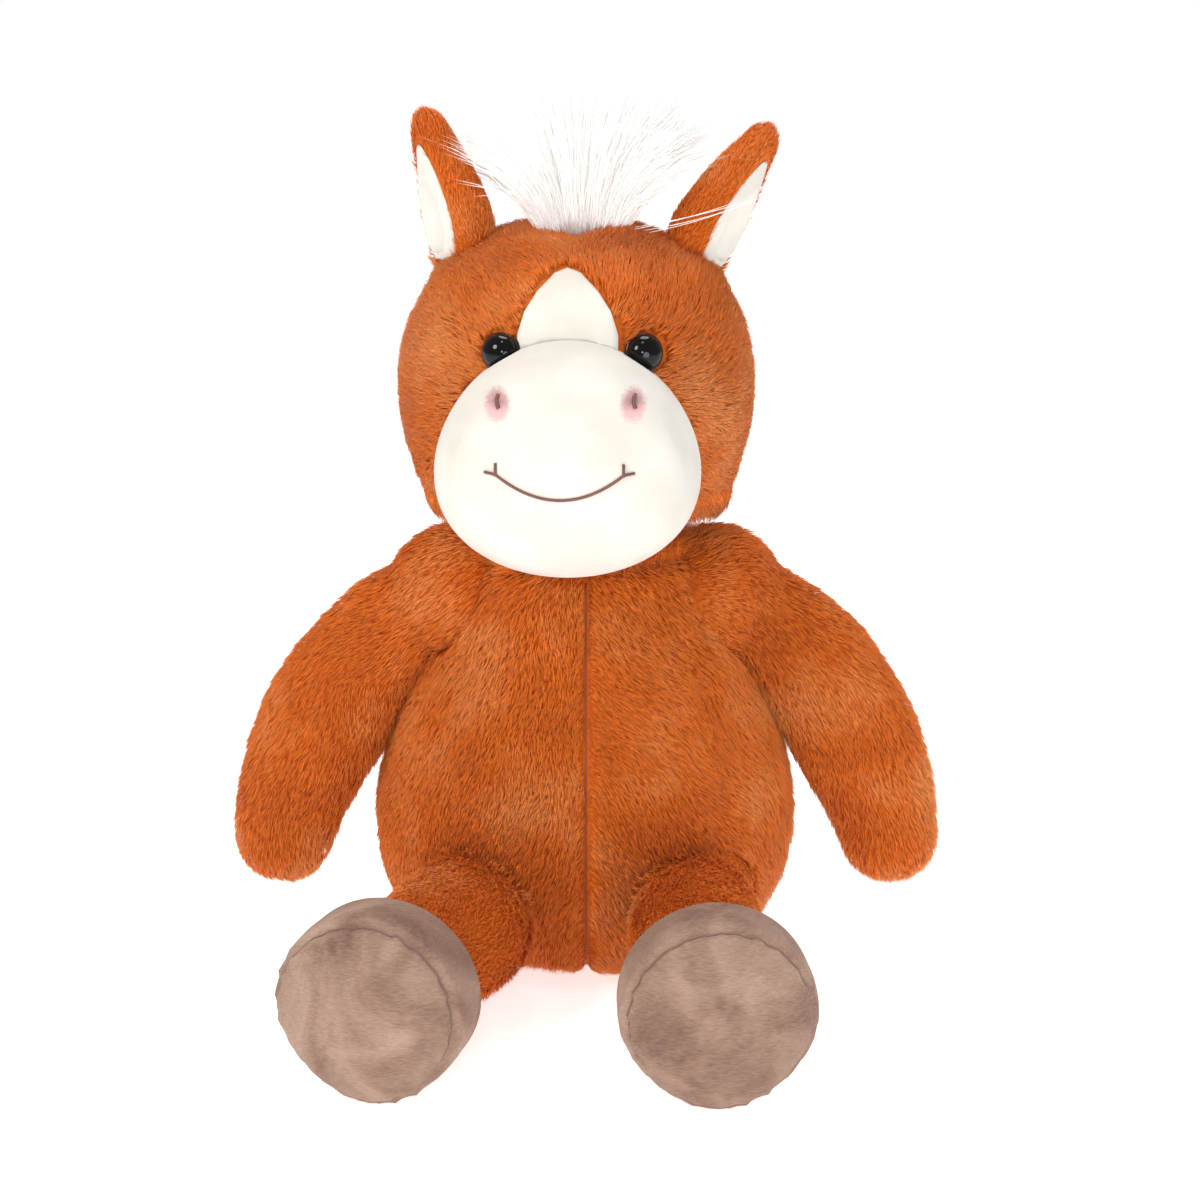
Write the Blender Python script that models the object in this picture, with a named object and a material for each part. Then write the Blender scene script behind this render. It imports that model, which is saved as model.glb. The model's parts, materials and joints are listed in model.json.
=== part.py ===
# Seated plush horse, in metres: +Z up, the toy faces -Y, the origin is at the middle of its flat seat.
# Every soft form is a ball drawn out along a path, with its girth read from a table of shares.
import math

import bmesh
import bpy
import numpy as np
from mathutils import Matrix, Vector

for old in list(bpy.data.objects):
    bpy.data.objects.remove(old, do_unlink=True)

# Cloth, clearances and seams
gap = 0.0003
fill_gap = 0.0007
pile_cloth = 0.0028
velour_cloth = 0.0018
seam_dip = 0.0022
seam_half_width = 0.006
overrun = 0.02
seat_cut = 0.0005

# Torso
torso_height = 0.150
torso_width = 0.149
torso_depth = 0.124
torso_girth_share = [
    (0.00, 0.66), (0.06, 0.80), (0.16, 0.93), (0.33, 1.00), (0.50, 0.95),
    (0.68, 0.81), (0.84, 0.65), (0.96, 0.52), (1.00, 0.46),
]
torso_cap_share = 0.07
neck_cut_drop = 0.005
bag_radius = 0.036
bag_height = 0.018
bag_cap_share = 0.4
bag_mouth_share = 0.7
bag_girth_share = [(0.0, 0.8), (0.3, 1.0), (0.7, 1.0), (1.0, 0.8)]

# Neck
neck_pivot_rise = 0.0015
neck_pivot_back = 0.003
neck_wad_radius = 0.023
nod_clearance_deg = 17.0

# Head
head_height = 0.112
head_width = 0.122
head_depth = 0.112
head_sink = 0.0045
head_left_shift = 0.003
head_girth_share = [
    (0.00, 0.52), (0.12, 0.78), (0.30, 0.94), (0.50, 1.00), (0.70, 0.95), (0.85, 0.81), (1.00, 0.66),
]
head_cap_share = 0.16
crown_dip = 0.0035

# Muzzle, its smile and nostrils
muzzle_width = 0.086
muzzle_height = 0.077
muzzle_centre_rise = 0.0425
muzzle_left_shift = 0.006
muzzle_stand_out = 0.040
muzzle_root_inset = 0.026
muzzle_girth_share = [(0.00, 0.90), (0.35, 1.00), (0.60, 0.99), (0.80, 0.86), (1.00, 0.62)]
muzzle_cap_share = 0.22
muzzle_jowl = 0.0035
thread_radius = 0.0005
smile_half_width = 0.0224
smile_top_rise = 0.0025
smile_drop = 0.0085
smile_tick = 0.0035
nostril_spacing = 0.0425
nostril_rise = 0.0245
stitch_radius = 0.0009
stitch_length = 0.0042
thread_lift = 0.0005
thread_sides = 5
even_girth_share = [(0.0, 1.0), (0.5, 1.0), (1.0, 1.0)]

# Blaze patch
blaze_width = 0.033
blaze_height = 0.0265
blaze_bottom_rise = 0.0755
blaze_outline_share = [(-0.5, 0.0), (-0.5, 0.25), (-0.43, 0.52), (-0.30, 0.76), (-0.13, 0.95), (0.0, 1.0)]

# Safety eyes
eye_radius = 0.0066
eye_dome = 0.0050
eye_spacing = 0.0475
eye_rise = 0.078
eye_stem_radius = 0.0016
eye_stem_length = 0.014
washer_radius = 0.0062
washer_thickness = 0.0022
eye_out_deg = 18.0
eye_up_deg = 14.0
eye_sink = 0.0022
eye_rim = 0.0012
washer_crown_share = 0.7
washer_setback = 0.0062

# Ears
ear_length = 0.056
ear_width = 0.029
ear_thickness = 0.018
ear_cloth = 0.0024
ear_lining_cloth = 0.0012
ear_base_inset = 0.0235
ear_base_rise = 0.0955
ear_lean_left_deg = 12.0
ear_lean_right_deg = 27.0
ear_turn_deg = 48.0
ear_girth_share = [(0.00, 0.80), (0.25, 1.00), (0.50, 0.90), (0.75, 0.62), (0.92, 0.36), (1.00, 0.22)]
ear_cap_share = 0.10
ear_bore_lift = 0.010
ear_mouth_shift = 0.0085
ear_back = 0.004
ear_curl = 0.003

# Mane and tail
mane_height = 0.060
mane_width = 0.076
mane_depth = 0.030
mane_girth_share = [(0.00, 0.26), (0.20, 0.42), (0.50, 0.80), (0.78, 1.00), (1.00, 0.78)]
mane_cap_share = 0.16
nape_length = 0.088
nape_width = 0.020
nape_thickness = 0.010
mane_back = 0.004
mane_root = 0.006
nape_seat_share = 0.35
nape_start_deg = 68.0
nape_cap_share = 0.12
tail_length = 0.070
tail_width = 0.026
tail_root_height = 0.040
tail_floor_gap = 0.002
tail_girth_share = [(0.0, 0.62), (0.35, 0.85), (0.7, 1.0), (1.0, 0.55)]
tail_cap_share = 0.2

# Arms
arm_pivot_inset = 0.0295
arm_pivot_drop = 0.022
arm_ball_radius = 0.0225
arm_reach = 0.064
arm_drop = 0.104
arm_path_share = [(0.0, 0.0), (0.46, 0.20), (0.80, 0.52), (0.96, 0.80), (1.0, 1.0)]
arm_forward = 0.008
arm_width = 0.047
arm_thickness = 0.040
arm_girth_share = [(0.00, 0.90), (0.25, 0.94), (0.55, 1.00), (0.80, 0.84), (1.00, 0.66)]
arm_cap_share = 0.12
limb_mouth_share = 0.6

# Legs and hooves
leg_pivot_side_inset = 0.0385
leg_pivot_front_inset = 0.024
leg_ball_radius = 0.0222
leg_length = 0.090
leg_width = 0.045
leg_girth_share = [(0.00, 0.92), (0.30, 0.98), (0.70, 1.00), (1.00, 1.02)]
leg_splay_left_deg = 17.0
leg_splay_right_deg = 3.0
leg_cap_share = 0.10
hoof_width = 0.063
hoof_height = 0.063
hoof_band_depth = 0.023
hoof_sole_bulge = 0.010
hoof_overlap = 0.010
hoof_girth_share = [(0.00, 0.78), (0.14, 0.93), (0.45, 1.00), (1.00, 0.97)]
ankle_mouth_share = 0.72
leg_splay_most_deg = 30.0
hoof_point_share = 0.16
hoof_cap_share = 0.30

# Rounding of the meshes
fine_sides = 24
fine_rings = 14
plain_sides = 16
plain_rings = 10
inner_sides = 12
inner_rings = 8
small_sides = 10
small_rings = 6

brown = ("russet_pile", (0.56, 0.13, 0.02), 0.85)
cream = ("cream_velour", (0.97, 0.93, 0.85), 0.85)
taupe = ("taupe_velour", (0.36, 0.23, 0.17), 0.8)
white = ("white_pile", (0.95, 0.94, 0.92), 0.7)
black = ("black_gloss", (0.01, 0.01, 0.011), 0.08)
thread = ("brown_thread", (0.16, 0.07, 0.05), 0.6)
fibre = ("fibre_fill", (0.85, 0.85, 0.83), 0.95)
pellets = ("bag_cloth", (0.70, 0.68, 0.62), 0.9)
clear = ("washer_plastic", (0.75, 0.76, 0.78), 0.35)

LEFT, RIGHT = -1, 1

# Heights and reaches that follow from the sizes above
neck_pivot_height = torso_height - seat_cut + neck_pivot_rise
neck_cut_height = neck_pivot_height - neck_cut_drop
head_bottom_height = neck_pivot_height - head_sink
muzzle_centre_height = head_bottom_height + muzzle_centre_rise
muzzle_front = head_depth / 2 + muzzle_stand_out
muzzle_root = head_depth / 2 - muzzle_root_inset
smile_top_height = muzzle_centre_height + smile_top_rise
nostril_height = muzzle_centre_height + nostril_rise
blaze_bottom_height = head_bottom_height + blaze_bottom_rise
eye_height = head_bottom_height + eye_rise
ear_base_out = head_width / 2 - ear_base_inset
ear_base_height = head_bottom_height + ear_base_rise
arm_pivot_out = torso_width / 2 - arm_pivot_inset
arm_pivot_height = neck_pivot_height - arm_pivot_drop
leg_pivot_out = torso_width / 2 - leg_pivot_side_inset
leg_pivot_forward = torso_depth / 2 - leg_pivot_front_inset
up = Vector((0, 0, 1))
ahead = Vector((0, -1, 0))


def finish(kind):
    """The material of one finish, made once."""
    name, colour, roughness = kind
    made = bpy.data.materials.get(name)
    if made is None:
        made = bpy.data.materials.new(name)
        made.use_nodes = True
        shader = made.node_tree.nodes["Principled BSDF"]
        shader.inputs["Base Color"].default_value = (*colour, 1)
        shader.inputs["Roughness"].default_value = roughness
        shader.inputs["Metallic"].default_value = 0
    return made


def piece_from(bm, name, kind):
    bmesh.ops.recalc_face_normals(bm, faces=bm.faces)
    if bm.calc_volume(signed=True) < 0:
        bmesh.ops.reverse_faces(bm, faces=bm.faces)
    mesh = bpy.data.meshes.new(name)
    bm.to_mesh(mesh)
    bm.free()
    mesh.materials.append(finish(kind))
    mesh.shade_smooth()
    mesh.set_sharp_from_angle(angle=math.radians(40))
    piece = bpy.data.objects.new(name, mesh)
    bpy.context.scene.collection.objects.link(piece)
    return piece


def as_cutter(piece):
    piece.hide_render = True
    piece.display_type = "WIRE"
    return piece


def combine(piece, others, operation):
    """Applies one exact Boolean for each of the others and keeps the result as the piece's mesh."""
    for other in others:
        step = piece.modifiers.new(operation.lower(), "BOOLEAN")
        step.operation = operation
        step.object = other
        graph = bpy.context.evaluated_depsgraph_get()
        made = bpy.data.meshes.new_from_object(piece.evaluated_get(graph))
        piece.modifiers.remove(step)
        piece.data = made
    made = piece.data
    made.shade_smooth()
    made.set_sharp_from_angle(angle=math.radians(40))
    return piece


def cut(piece, *others):
    return combine(piece, others, "DIFFERENCE")


def drop_helpers():
    for helper in [o for o in bpy.data.objects if o.hide_render]:
        bpy.data.objects.remove(helper, do_unlink=True)


def table_at(table, share):
    """A smooth value between the rows of a table of shares."""
    places = np.array([row[0] for row in table], float)
    values = np.array([row[1] for row in table], float)
    slopes = np.gradient(values, places)
    at = min(max(share, places[0]), places[-1])
    i = min(int(np.searchsorted(places, at, side="right")) - 1, len(places) - 2)
    span = places[i + 1] - places[i]
    t = (at - places[i]) / span
    h00, h10 = 2 * t**3 - 3 * t**2 + 1, t**3 - 2 * t**2 + t
    h01, h11 = 3 * t**2 - 2 * t**3, t**3 - t**2
    return float(h00 * values[i] + h10 * span * slopes[i] + h01 * values[i + 1] + h11 * span * slopes[i + 1])


def cap_at(share, cap_share):
    """How far a rounded end has closed, from 0 at the very end to 1 along the form."""
    edge = min(share, 1 - share)
    if edge >= cap_share:
        return 1.0
    return math.sqrt(max(0.0, 1 - (1 - edge / cap_share) ** 2))


def path_at(points, share):
    """A point and a direction on a smooth curve through the points."""
    steps = [0.0]
    for a, b in zip(points, points[1:]):
        steps.append(steps[-1] + (b - a).length)
    places = [step / steps[-1] for step in steps]
    tables = [[(place, point[axis]) for place, point in zip(places, points)] for axis in range(3)]
    here = Vector([table_at(table, share) for table in tables])
    small = min(steps[1:]) / steps[-1] / len(points)
    before = Vector([table_at(table, share - small) for table in tables])
    after = Vector([table_at(table, share + small) for table in tables])
    return here, (after - before).normalized()


def swell(name, kind, points, width, depth, girths, cap_share, side, grow=0.0, sides=None, rings=None, shape=None):
    """A ball drawn out along a path: its girth follows the table, and grow moves its surface out or in."""
    sides, rings = sides or plain_sides, rings or plain_rings
    bm = bmesh.new()
    bmesh.ops.create_uvsphere(bm, u_segments=sides, v_segments=rings, radius=1)
    for vert in bm.verts:
        unit = vert.co.copy()
        share = (1 - unit.z) / 2
        centre, along = path_at(points, share)
        across = (side - along * side.dot(along)).normalized()
        other = along.cross(across)
        round_share = cap_at(share, cap_share) * table_at(girths, share)
        flat = math.hypot(unit.x, unit.y)
        if flat > 1e-6:
            reach_x = (width / 2 * round_share + grow * cap_at(share, cap_share)) * unit.x / flat
            reach_y = (depth / 2 * round_share + grow * cap_at(share, cap_share)) * unit.y / flat
        else:
            reach_x = reach_y = 0.0
        stretch = -along if share < 0.5 else along
        closing = 1 - cap_at(share, cap_share)
        place = centre + across * reach_x + other * reach_y + stretch * grow * closing
        if shape:
            place = shape(place, share)
        vert.co = place
    return piece_from(bm, name, kind)


def ball(name, kind, centre, radius, sides=None, rings=None):
    bm = bmesh.new()
    bmesh.ops.create_uvsphere(bm, u_segments=sides or plain_sides, v_segments=rings or plain_rings, radius=radius)
    bmesh.ops.translate(bm, vec=centre, verts=bm.verts)
    return piece_from(bm, name, kind)


def block(name, low, high):
    """A box cutter between two corners."""
    bm = bmesh.new()
    bmesh.ops.create_cube(bm, size=1)
    low, high = Vector(low), Vector(high)
    bmesh.ops.scale(bm, vec=high - low, verts=bm.verts)
    bmesh.ops.translate(bm, vec=(low + high) / 2, verts=bm.verts)
    return as_cutter(piece_from(bm, name, fibre))


def turned(name, kind, profile, place, axis, sides=None):
    """A profile of (radius, height) pairs turned about its own axis, then stood along the given axis."""
    bm = bmesh.new()
    verts = [bm.verts.new((radius, 0, height)) for radius, height in profile]
    edges = [bm.edges.new(pair) for pair in zip(verts, verts[1:])]
    bmesh.ops.spin(
        bm, geom=verts + edges, cent=(0, 0, 0), axis=(0, 0, 1),
        angle=math.tau, steps=sides or plain_sides, use_merge=True,
    )
    bmesh.ops.remove_doubles(bm, verts=bm.verts, dist=gap / 10)
    turn = up.rotation_difference(Vector(axis).normalized()).to_matrix().to_4x4()
    bmesh.ops.transform(bm, matrix=Matrix.Translation(place) @ turn, verts=bm.verts)
    return piece_from(bm, name, kind)


# Torso

sideways = Vector((1, 0, 0))
wide = torso_width + torso_depth
torso_points = [Vector((0, 0, torso_height * share - seat_cut)) for share in (0, 0.25, 0.5, 0.75, 1)]
neck_pivot = Vector((0, neck_pivot_back, neck_pivot_height))
arm_pivots = {side: Vector((side * arm_pivot_out, 0, arm_pivot_height)) for side in (LEFT, RIGHT)}
leg_pivots = {
    side: Vector((side * leg_pivot_out, -leg_pivot_forward, hoof_height / 2 - seat_cut)) for side in (LEFT, RIGHT)
}


def torso_shape(place, share):
    """Draws the cloth in along the centre seam, front and back."""
    place = place.copy()
    off = place.x / seam_half_width
    inward = seam_dip * math.exp(-off * off) * cap_at(share, torso_cap_share)
    place.y -= math.copysign(inward, place.y)
    return place


def torso_form(name, kind, grow, detail=True):
    return swell(
        name, kind, torso_points, torso_width, torso_depth, torso_girth_share, torso_cap_share,
        sideways, grow, fine_sides if detail else plain_sides,
        fine_rings if detail else plain_rings, torso_shape,
    )


def joint_ball(name, place, radius, sides=plain_sides, rings=plain_rings):
    return as_cutter(ball(name, fibre, place, radius, sides, rings))


def socket_ball(name, place, radius, sides=plain_sides, rings=plain_rings):
    """The cutter of a ball's socket, grown until even the middles of its facets clear the turning ball."""
    facet_share = math.cos(math.pi / sides) * math.cos(math.pi / (2 * rings))
    return joint_ball(name, place, (radius + gap) / facet_share, sides, rings)


def torso_cutters(grow):
    """The sockets of the neck, arms and legs, with the plane of the neck opening and of the seat."""
    cutters = [socket_ball("cut_neck", neck_pivot, neck_wad_radius, fine_sides, fine_rings)]
    for side in (LEFT, RIGHT):
        cutters.append(socket_ball("cut_shoulder", arm_pivots[side], arm_ball_radius))
        cutters.append(socket_ball("cut_hip", leg_pivots[side], leg_ball_radius))
    cutters.append(block("cut_top", (-wide, -wide, neck_cut_height - grow), (wide, wide, wide)))
    cutters.append(block("cut_seat", (-wide, -wide, -wide), (wide, wide, grow)))
    return cutters


def bag(name, kind, grow):
    """The flat bag of pellets low in the seat."""
    low = pile_cloth + fill_gap - grow
    points = [Vector((0, 0, low + (bag_height + 2 * grow) * share)) for share in (0, 0.5, 1)]
    size = 2 * bag_radius
    return swell(name, kind, points, size, size, bag_girth_share, bag_cap_share, sideways, grow)


def make_torso():
    inner = as_cutter(torso_form("cut_torso", fibre, -pile_cloth, False))
    floor = block("keep_floor", (-wide, -wide, -wide), (wide, wide, pile_cloth))
    cut(inner, floor)
    for side, name in ((LEFT, "torso_skin_left"), (RIGHT, "torso_skin_right")):
        skin = torso_form(name, brown, 0.0)
        near, far = side * gap / 2, -side * wide
        half = block("cut_half", (min(near, far), -wide, -wide), (max(near, far), wide, wide))
        cut(skin, *torso_cutters(0.0), inner, half)
    stuffing = torso_form("torso_stuffing", fibre, -pile_cloth - fill_gap, False)
    mouth_profile = [
        (0, -overrun), (bag_radius * bag_mouth_share, -overrun),
        (bag_radius * bag_mouth_share, pile_cloth + bag_height / 2),
        (0, pile_cloth + bag_height / 2),
    ]
    mouth = as_cutter(turned("cut_mouth", fibre, mouth_profile, Vector(), up))
    cut(stuffing, *torso_cutters(pile_cloth + fill_gap), as_cutter(bag("cut_bag", fibre, gap)), mouth)
    bag("pellet_bag", pellets, 0.0)
    ball("neck_wad", fibre, neck_pivot, neck_wad_radius, fine_sides, fine_rings)


# Head

head_points = [
    Vector((-head_left_shift, 0, head_bottom_height + head_height * share)) for share in (0, 0.25, 0.5, 0.75, 1)
]
head_middle = Vector((-head_left_shift, 0, head_bottom_height + head_height / 2))
crown_height = head_bottom_height + head_height


def head_shape(place, share):
    """The seam dip down the face and back, deepest between the two bumps of the crown."""
    place = place.copy()
    off = (place.x + head_left_shift) / (2 * seam_half_width)
    near = math.exp(-off * off)
    place.y -= math.copysign(seam_dip / 2 * near * cap_at(share, head_cap_share), place.y)
    rise = max(0.0, (place.z - head_middle.z) / (head_height / 2))
    place.z -= crown_dip * near * rise**6
    return place


def head_form(name, kind, grow, detail=True):
    return swell(
        name, kind, head_points, head_width, head_depth, head_girth_share, head_cap_share,
        sideways, grow, fine_sides if detail else plain_sides,
        fine_rings if detail else plain_rings, head_shape,
    )


def nod_cone(lift=0.0):
    """The space under the head that the neck needs to nod in, a wide cone with its tip at the pivot."""
    rise = wide * math.tan(math.radians(nod_clearance_deg))
    profile = [(0, -wide), (wide, -wide), (wide, rise + lift), (0, lift)]
    return as_cutter(turned("cut_nod", fibre, profile, neck_pivot, up))


muzzle_points = [
    Vector((-muzzle_left_shift, -muzzle_root - (muzzle_front - muzzle_root) * share, muzzle_centre_height))
    for share in (0, 0.33, 0.67, 1)
]


def muzzle_shape(place, share):
    """Fuller low down, as the filling sinks, and flatter over the nostrils."""
    place = place.copy()
    below = (muzzle_centre_height - place.z) / (muzzle_height / 2)
    lean = muzzle_jowl * max(-1.0, min(1.0, below))
    middle = place.x + muzzle_left_shift
    place.x += lean * middle / (muzzle_width / 2)
    place.y -= lean * share
    return place


def muzzle_form(name, kind, grow, detail=True):
    return swell(
        name, kind, muzzle_points, muzzle_width, muzzle_height, muzzle_girth_share, muzzle_cap_share,
        sideways, grow, fine_sides if detail else plain_sides, plain_rings, muzzle_shape,
    )


def eye_frame(side):
    """Where an eye's stem leaves the face, and the way it points."""
    out = math.radians(eye_out_deg)
    tilt = math.radians(eye_up_deg)
    aim = Vector((side * math.sin(out) * math.cos(tilt), -math.cos(out) * math.cos(tilt), math.sin(tilt)))
    x = -head_left_shift + side * eye_spacing / 2 - (muzzle_left_shift - head_left_shift) / 2
    share = (eye_height - head_bottom_height) / head_height
    girth = table_at(head_girth_share, share) * cap_at(share, head_cap_share)
    across = (x + head_left_shift) / (head_width / 2 * girth)
    y = -head_depth / 2 * girth * math.sqrt(1 - across * across)
    return Vector((x, y, eye_height)), aim


def stem_hole(name, side, radius, length):
    place, aim = eye_frame(side)
    profile = [(0, -length), (radius, -length), (radius, length), (0, length)]
    return as_cutter(turned(name, fibre, profile, place, aim, small_sides))


def eye_seat(side):
    """A shallow flat in the face that the back of the eye sits on."""
    place, aim = eye_frame(side)
    profile = [(0, 0), (eye_radius + gap, 0), (eye_radius + gap, eye_dome * 2), (0, eye_dome * 2)]
    return as_cutter(turned("cut_eye", fibre, profile, place - aim * eye_sink, aim, plain_sides))


def make_eyes():
    for side, word in ((LEFT, "left"), (RIGHT, "right")):
        place, aim = eye_frame(side)
        base = -eye_sink + gap
        dome = [(0, -eye_stem_length), (eye_stem_radius, -eye_stem_length), (eye_stem_radius, base)]
        dome.append((eye_radius - eye_rim, base))
        dome.append((eye_radius, base + eye_rim))
        steps = 4
        for step in range(1, steps + 1):
            turn = math.pi / 2 * step / steps
            dome.append((eye_radius * math.cos(turn), base + eye_rim + eye_dome * math.sin(turn)))
        dome[-1] = (0, base + eye_rim + eye_dome)
        turned("eye_" + word, black, dome, place, aim, plain_sides)
        inner = eye_stem_radius + gap
        half = washer_thickness / 2
        ring = [
            (inner, -half), (washer_radius, -half), (washer_radius, 0), (washer_radius * washer_crown_share, half),
            (inner, half), (inner, -half),
        ]
        seat, aim = washer_seat(side)
        turned("eye_washer_" + word, clear, ring, seat, aim, small_sides + 2)


def washer_seat(side):
    """The washer's middle, clear of the inside of the face where the cloth curves towards it."""
    place, aim = eye_frame(side)
    return place - aim * washer_setback, aim


def washer_pocket(side):
    seat, aim = washer_seat(side)
    reach = washer_radius + gap
    profile = [
        (0, -washer_thickness / 2 - gap), (reach, -washer_thickness / 2 - gap),
        (reach, eye_dome), (0, eye_dome),
    ]
    return as_cutter(turned("cut_washer", fibre, profile, seat, aim, plain_sides))


def make_head():
    inner = as_cutter(head_form("cut_head", fibre, -pile_cloth, False))
    cone = nod_cone()
    wad = socket_ball("cut_wad", neck_pivot, neck_wad_radius, fine_sides, fine_rings)
    cut(inner, nod_cone(pile_cloth))
    washers = [washer_pocket(side) for side in (LEFT, RIGHT)]
    holes = [stem_hole("cut_stem", side, eye_stem_radius + gap, eye_stem_length + gap) for side in (LEFT, RIGHT)]
    seats = [eye_seat(side) for side in (LEFT, RIGHT)]
    for side, name in ((LEFT, "head_skin_left"), (RIGHT, "head_skin_right")):
        skin = head_form(name, brown, 0.0)
        near = -head_left_shift + side * gap / 2
        far = -side * wide
        half = block("cut_half", (min(near, far), -wide, -wide), (max(near, far), wide, crown_height + wide))
        index = 0 if side == LEFT else 1
        cut(skin, cone, wad, inner, half, holes[index], seats[index])
    stuffing = head_form("head_stuffing", fibre, -pile_cloth - fill_gap, False)
    cut(stuffing, nod_cone(pile_cloth + fill_gap), wad, *washers, *holes)
    muzzle_inner = as_cutter(muzzle_form("cut_muzzle", fibre, -velour_cloth, False))
    face = as_cutter(head_form("cut_face", fibre, gap))
    eye_room = []
    for side in (LEFT, RIGHT):
        place, aim = eye_frame(side)
        eye_room.append(joint_ball("cut_room", place + aim * eye_rim, eye_radius + 2 * gap))
    cover = muzzle_form("muzzle_skin", cream, 0.0)
    cut(cover, face, muzzle_inner, *eye_room)
    filling = muzzle_form("muzzle_stuffing", fibre, -velour_cloth - fill_gap, False)
    behind = [joint_ball("cut_back", eye_frame(side)[0], eye_radius + eye_dome) for side in (LEFT, RIGHT)]
    cut(filling, face, *behind)
    make_blaze(face, eye_room)
    make_eyes()


def make_blaze(face, eye_room):
    """The cream patch on the forehead, a thin sheet between the face and the same form grown by the cloth."""
    patch = head_form("blaze_patch", cream, gap + velour_cloth)
    half = [(x * blaze_width, blaze_bottom_height + z * blaze_height) for x, z in blaze_outline_share]
    outline = half + [(-x, z) for x, z in reversed(half[:-1])]
    bm = bmesh.new()
    middle = -muzzle_left_shift
    verts = [bm.verts.new((middle + x, 0, z)) for x, z in outline]
    face_made = bm.faces.new(verts)
    grown = bmesh.ops.extrude_face_region(bm, geom=[face_made])
    moved = [item for item in grown["geom"] if isinstance(item, bmesh.types.BMVert)]
    bmesh.ops.translate(bm, vec=ahead * wide, verts=moved)
    prism = as_cutter(piece_from(bm, "cut_outline", fibre))
    combine(patch, [prism], "INTERSECT")
    muzzle_room = as_cutter(muzzle_form("cut_under", fibre, gap))
    cut(patch, face, muzzle_room, *eye_room)


# Stitches on the muzzle

def front_of(piece, x, z):
    """The point of the piece's front that a line from straight ahead meets."""
    hit, place, normal, face = piece.ray_cast(Vector((x, -wide, z)), -ahead)
    return place, normal


def smile_points():
    """The smile dips between its ends and turns out flat at each corner."""
    middle = -muzzle_left_shift
    steps = 16
    points = []
    for step in range(steps + 1):
        t = 2 * step / steps - 1
        points.append((middle + smile_half_width * t, smile_top_height - smile_drop * (1 - t * t)))
    first, last = points[0], points[-1]
    points.insert(0, (first[0] - smile_tick, first[1] + thread_radius))
    points.append((last[0] + smile_tick, last[1] + thread_radius))
    return points


def thread_tube(name, cover, flat_points):
    """A thread laid on the cover through points given straight from ahead."""
    places = []
    for x, z in flat_points:
        place, normal = front_of(cover, x, z)
        places.append(place + normal * (thread_radius + thread_lift))
    bm = bmesh.new()
    rims = []
    for i, place in enumerate(places):
        along = (places[min(i + 1, len(places) - 1)] - places[max(i - 1, 0)]).normalized()
        turn = up.rotation_difference(along).to_matrix().to_4x4()
        made = bmesh.ops.create_circle(
            bm, segments=thread_sides, radius=thread_radius, cap_ends=False, matrix=Matrix.Translation(place) @ turn
        )
        rims.append(made["verts"])
    for near, far in zip(rims, rims[1:]):
        for i in range(thread_sides):
            j = (i + 1) % thread_sides
            bm.faces.new((near[i], near[j], far[j], far[i]))
    bm.faces.new(rims[0])
    bm.faces.new(rims[-1])
    return piece_from(bm, name, thread)


def make_stitches():
    cover = bpy.data.objects["muzzle_skin"]
    line = smile_points()
    mouth = thread_tube("mouth_thread", cover, line)
    for corner in (line[1], line[-2]):
        tall = [(corner[0], corner[1] - thread_radius), (corner[0], corner[1] + smile_tick)]
        mark = as_cutter(thread_tube("join_tick", cover, tall))
        combine(mouth, [mark], "UNION")
    for side, word in ((LEFT, "left"), (RIGHT, "right")):
        x = -muzzle_left_shift + side * nostril_spacing / 2
        place, normal = front_of(cover, x, nostril_height)
        lie = (up - normal * up.dot(normal)).normalized()
        out = place + normal * (stitch_radius + thread_lift)
        ends = [out + lie * stitch_length * share for share in (-0.5, 0, 0.5)]
        swell(
            "nostril_stitch_" + word, thread, ends, 2 * stitch_radius, 2 * stitch_radius,
            even_girth_share, bag_cap_share, sideways, 0.0, small_sides, small_rings,
        )


# Ears

def ear_frame(side):
    lean = math.radians(ear_lean_left_deg if side == LEFT else ear_lean_right_deg)
    along = Vector((side * math.sin(lean), 0, math.cos(lean)))
    turn = math.radians(ear_turn_deg)
    mouth = Vector((side * math.sin(turn), -math.cos(turn), 0))
    mouth = (mouth - along * mouth.dot(along)).normalized()
    root = Vector((-head_left_shift + side * ear_base_out, ear_back, ear_base_height))
    return root, along, mouth


def ear_form(name, kind, side, grow, shift=0.0, lift=0.0):
    root, along, mouth = ear_frame(side)
    curl = mouth * ear_curl
    points = [
        root + mouth * shift + along * (lift + (ear_length - lift) * share) + curl * share * share
        for share in (0, 0.33, 0.67, 1)
    ]
    return swell(
        name, kind, points, ear_width, ear_thickness, ear_girth_share, ear_cap_share,
        along.cross(mouth), grow, small_sides + 2, small_rings + 3,
    )


def make_ears(face):
    for side, word in ((LEFT, "left"), (RIGHT, "right")):
        ear = ear_form("ear_" + word, brown, side, 0.0)
        bore = as_cutter(ear_form("cut_bore", fibre, side, -ear_cloth, ear_mouth_shift, ear_bore_lift))
        cut(ear, bore, face)
        lining = ear_form("ear_lining_" + word, cream, side, -ear_cloth - gap, ear_mouth_shift, ear_bore_lift + gap)
        keep = as_cutter(ear_form("keep_ear", fibre, side, -gap))
        hollow_shift = ear_mouth_shift + 2 * ear_lining_cloth
        hollow = ear_form(
            "cut_hollow", fibre, side, -ear_cloth - ear_lining_cloth, hollow_shift, ear_bore_lift + 2 * ear_lining_cloth
        )
        combine(lining, [keep], "INTERSECT")
        cut(lining, as_cutter(hollow), face)


# Mane and tail

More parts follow.
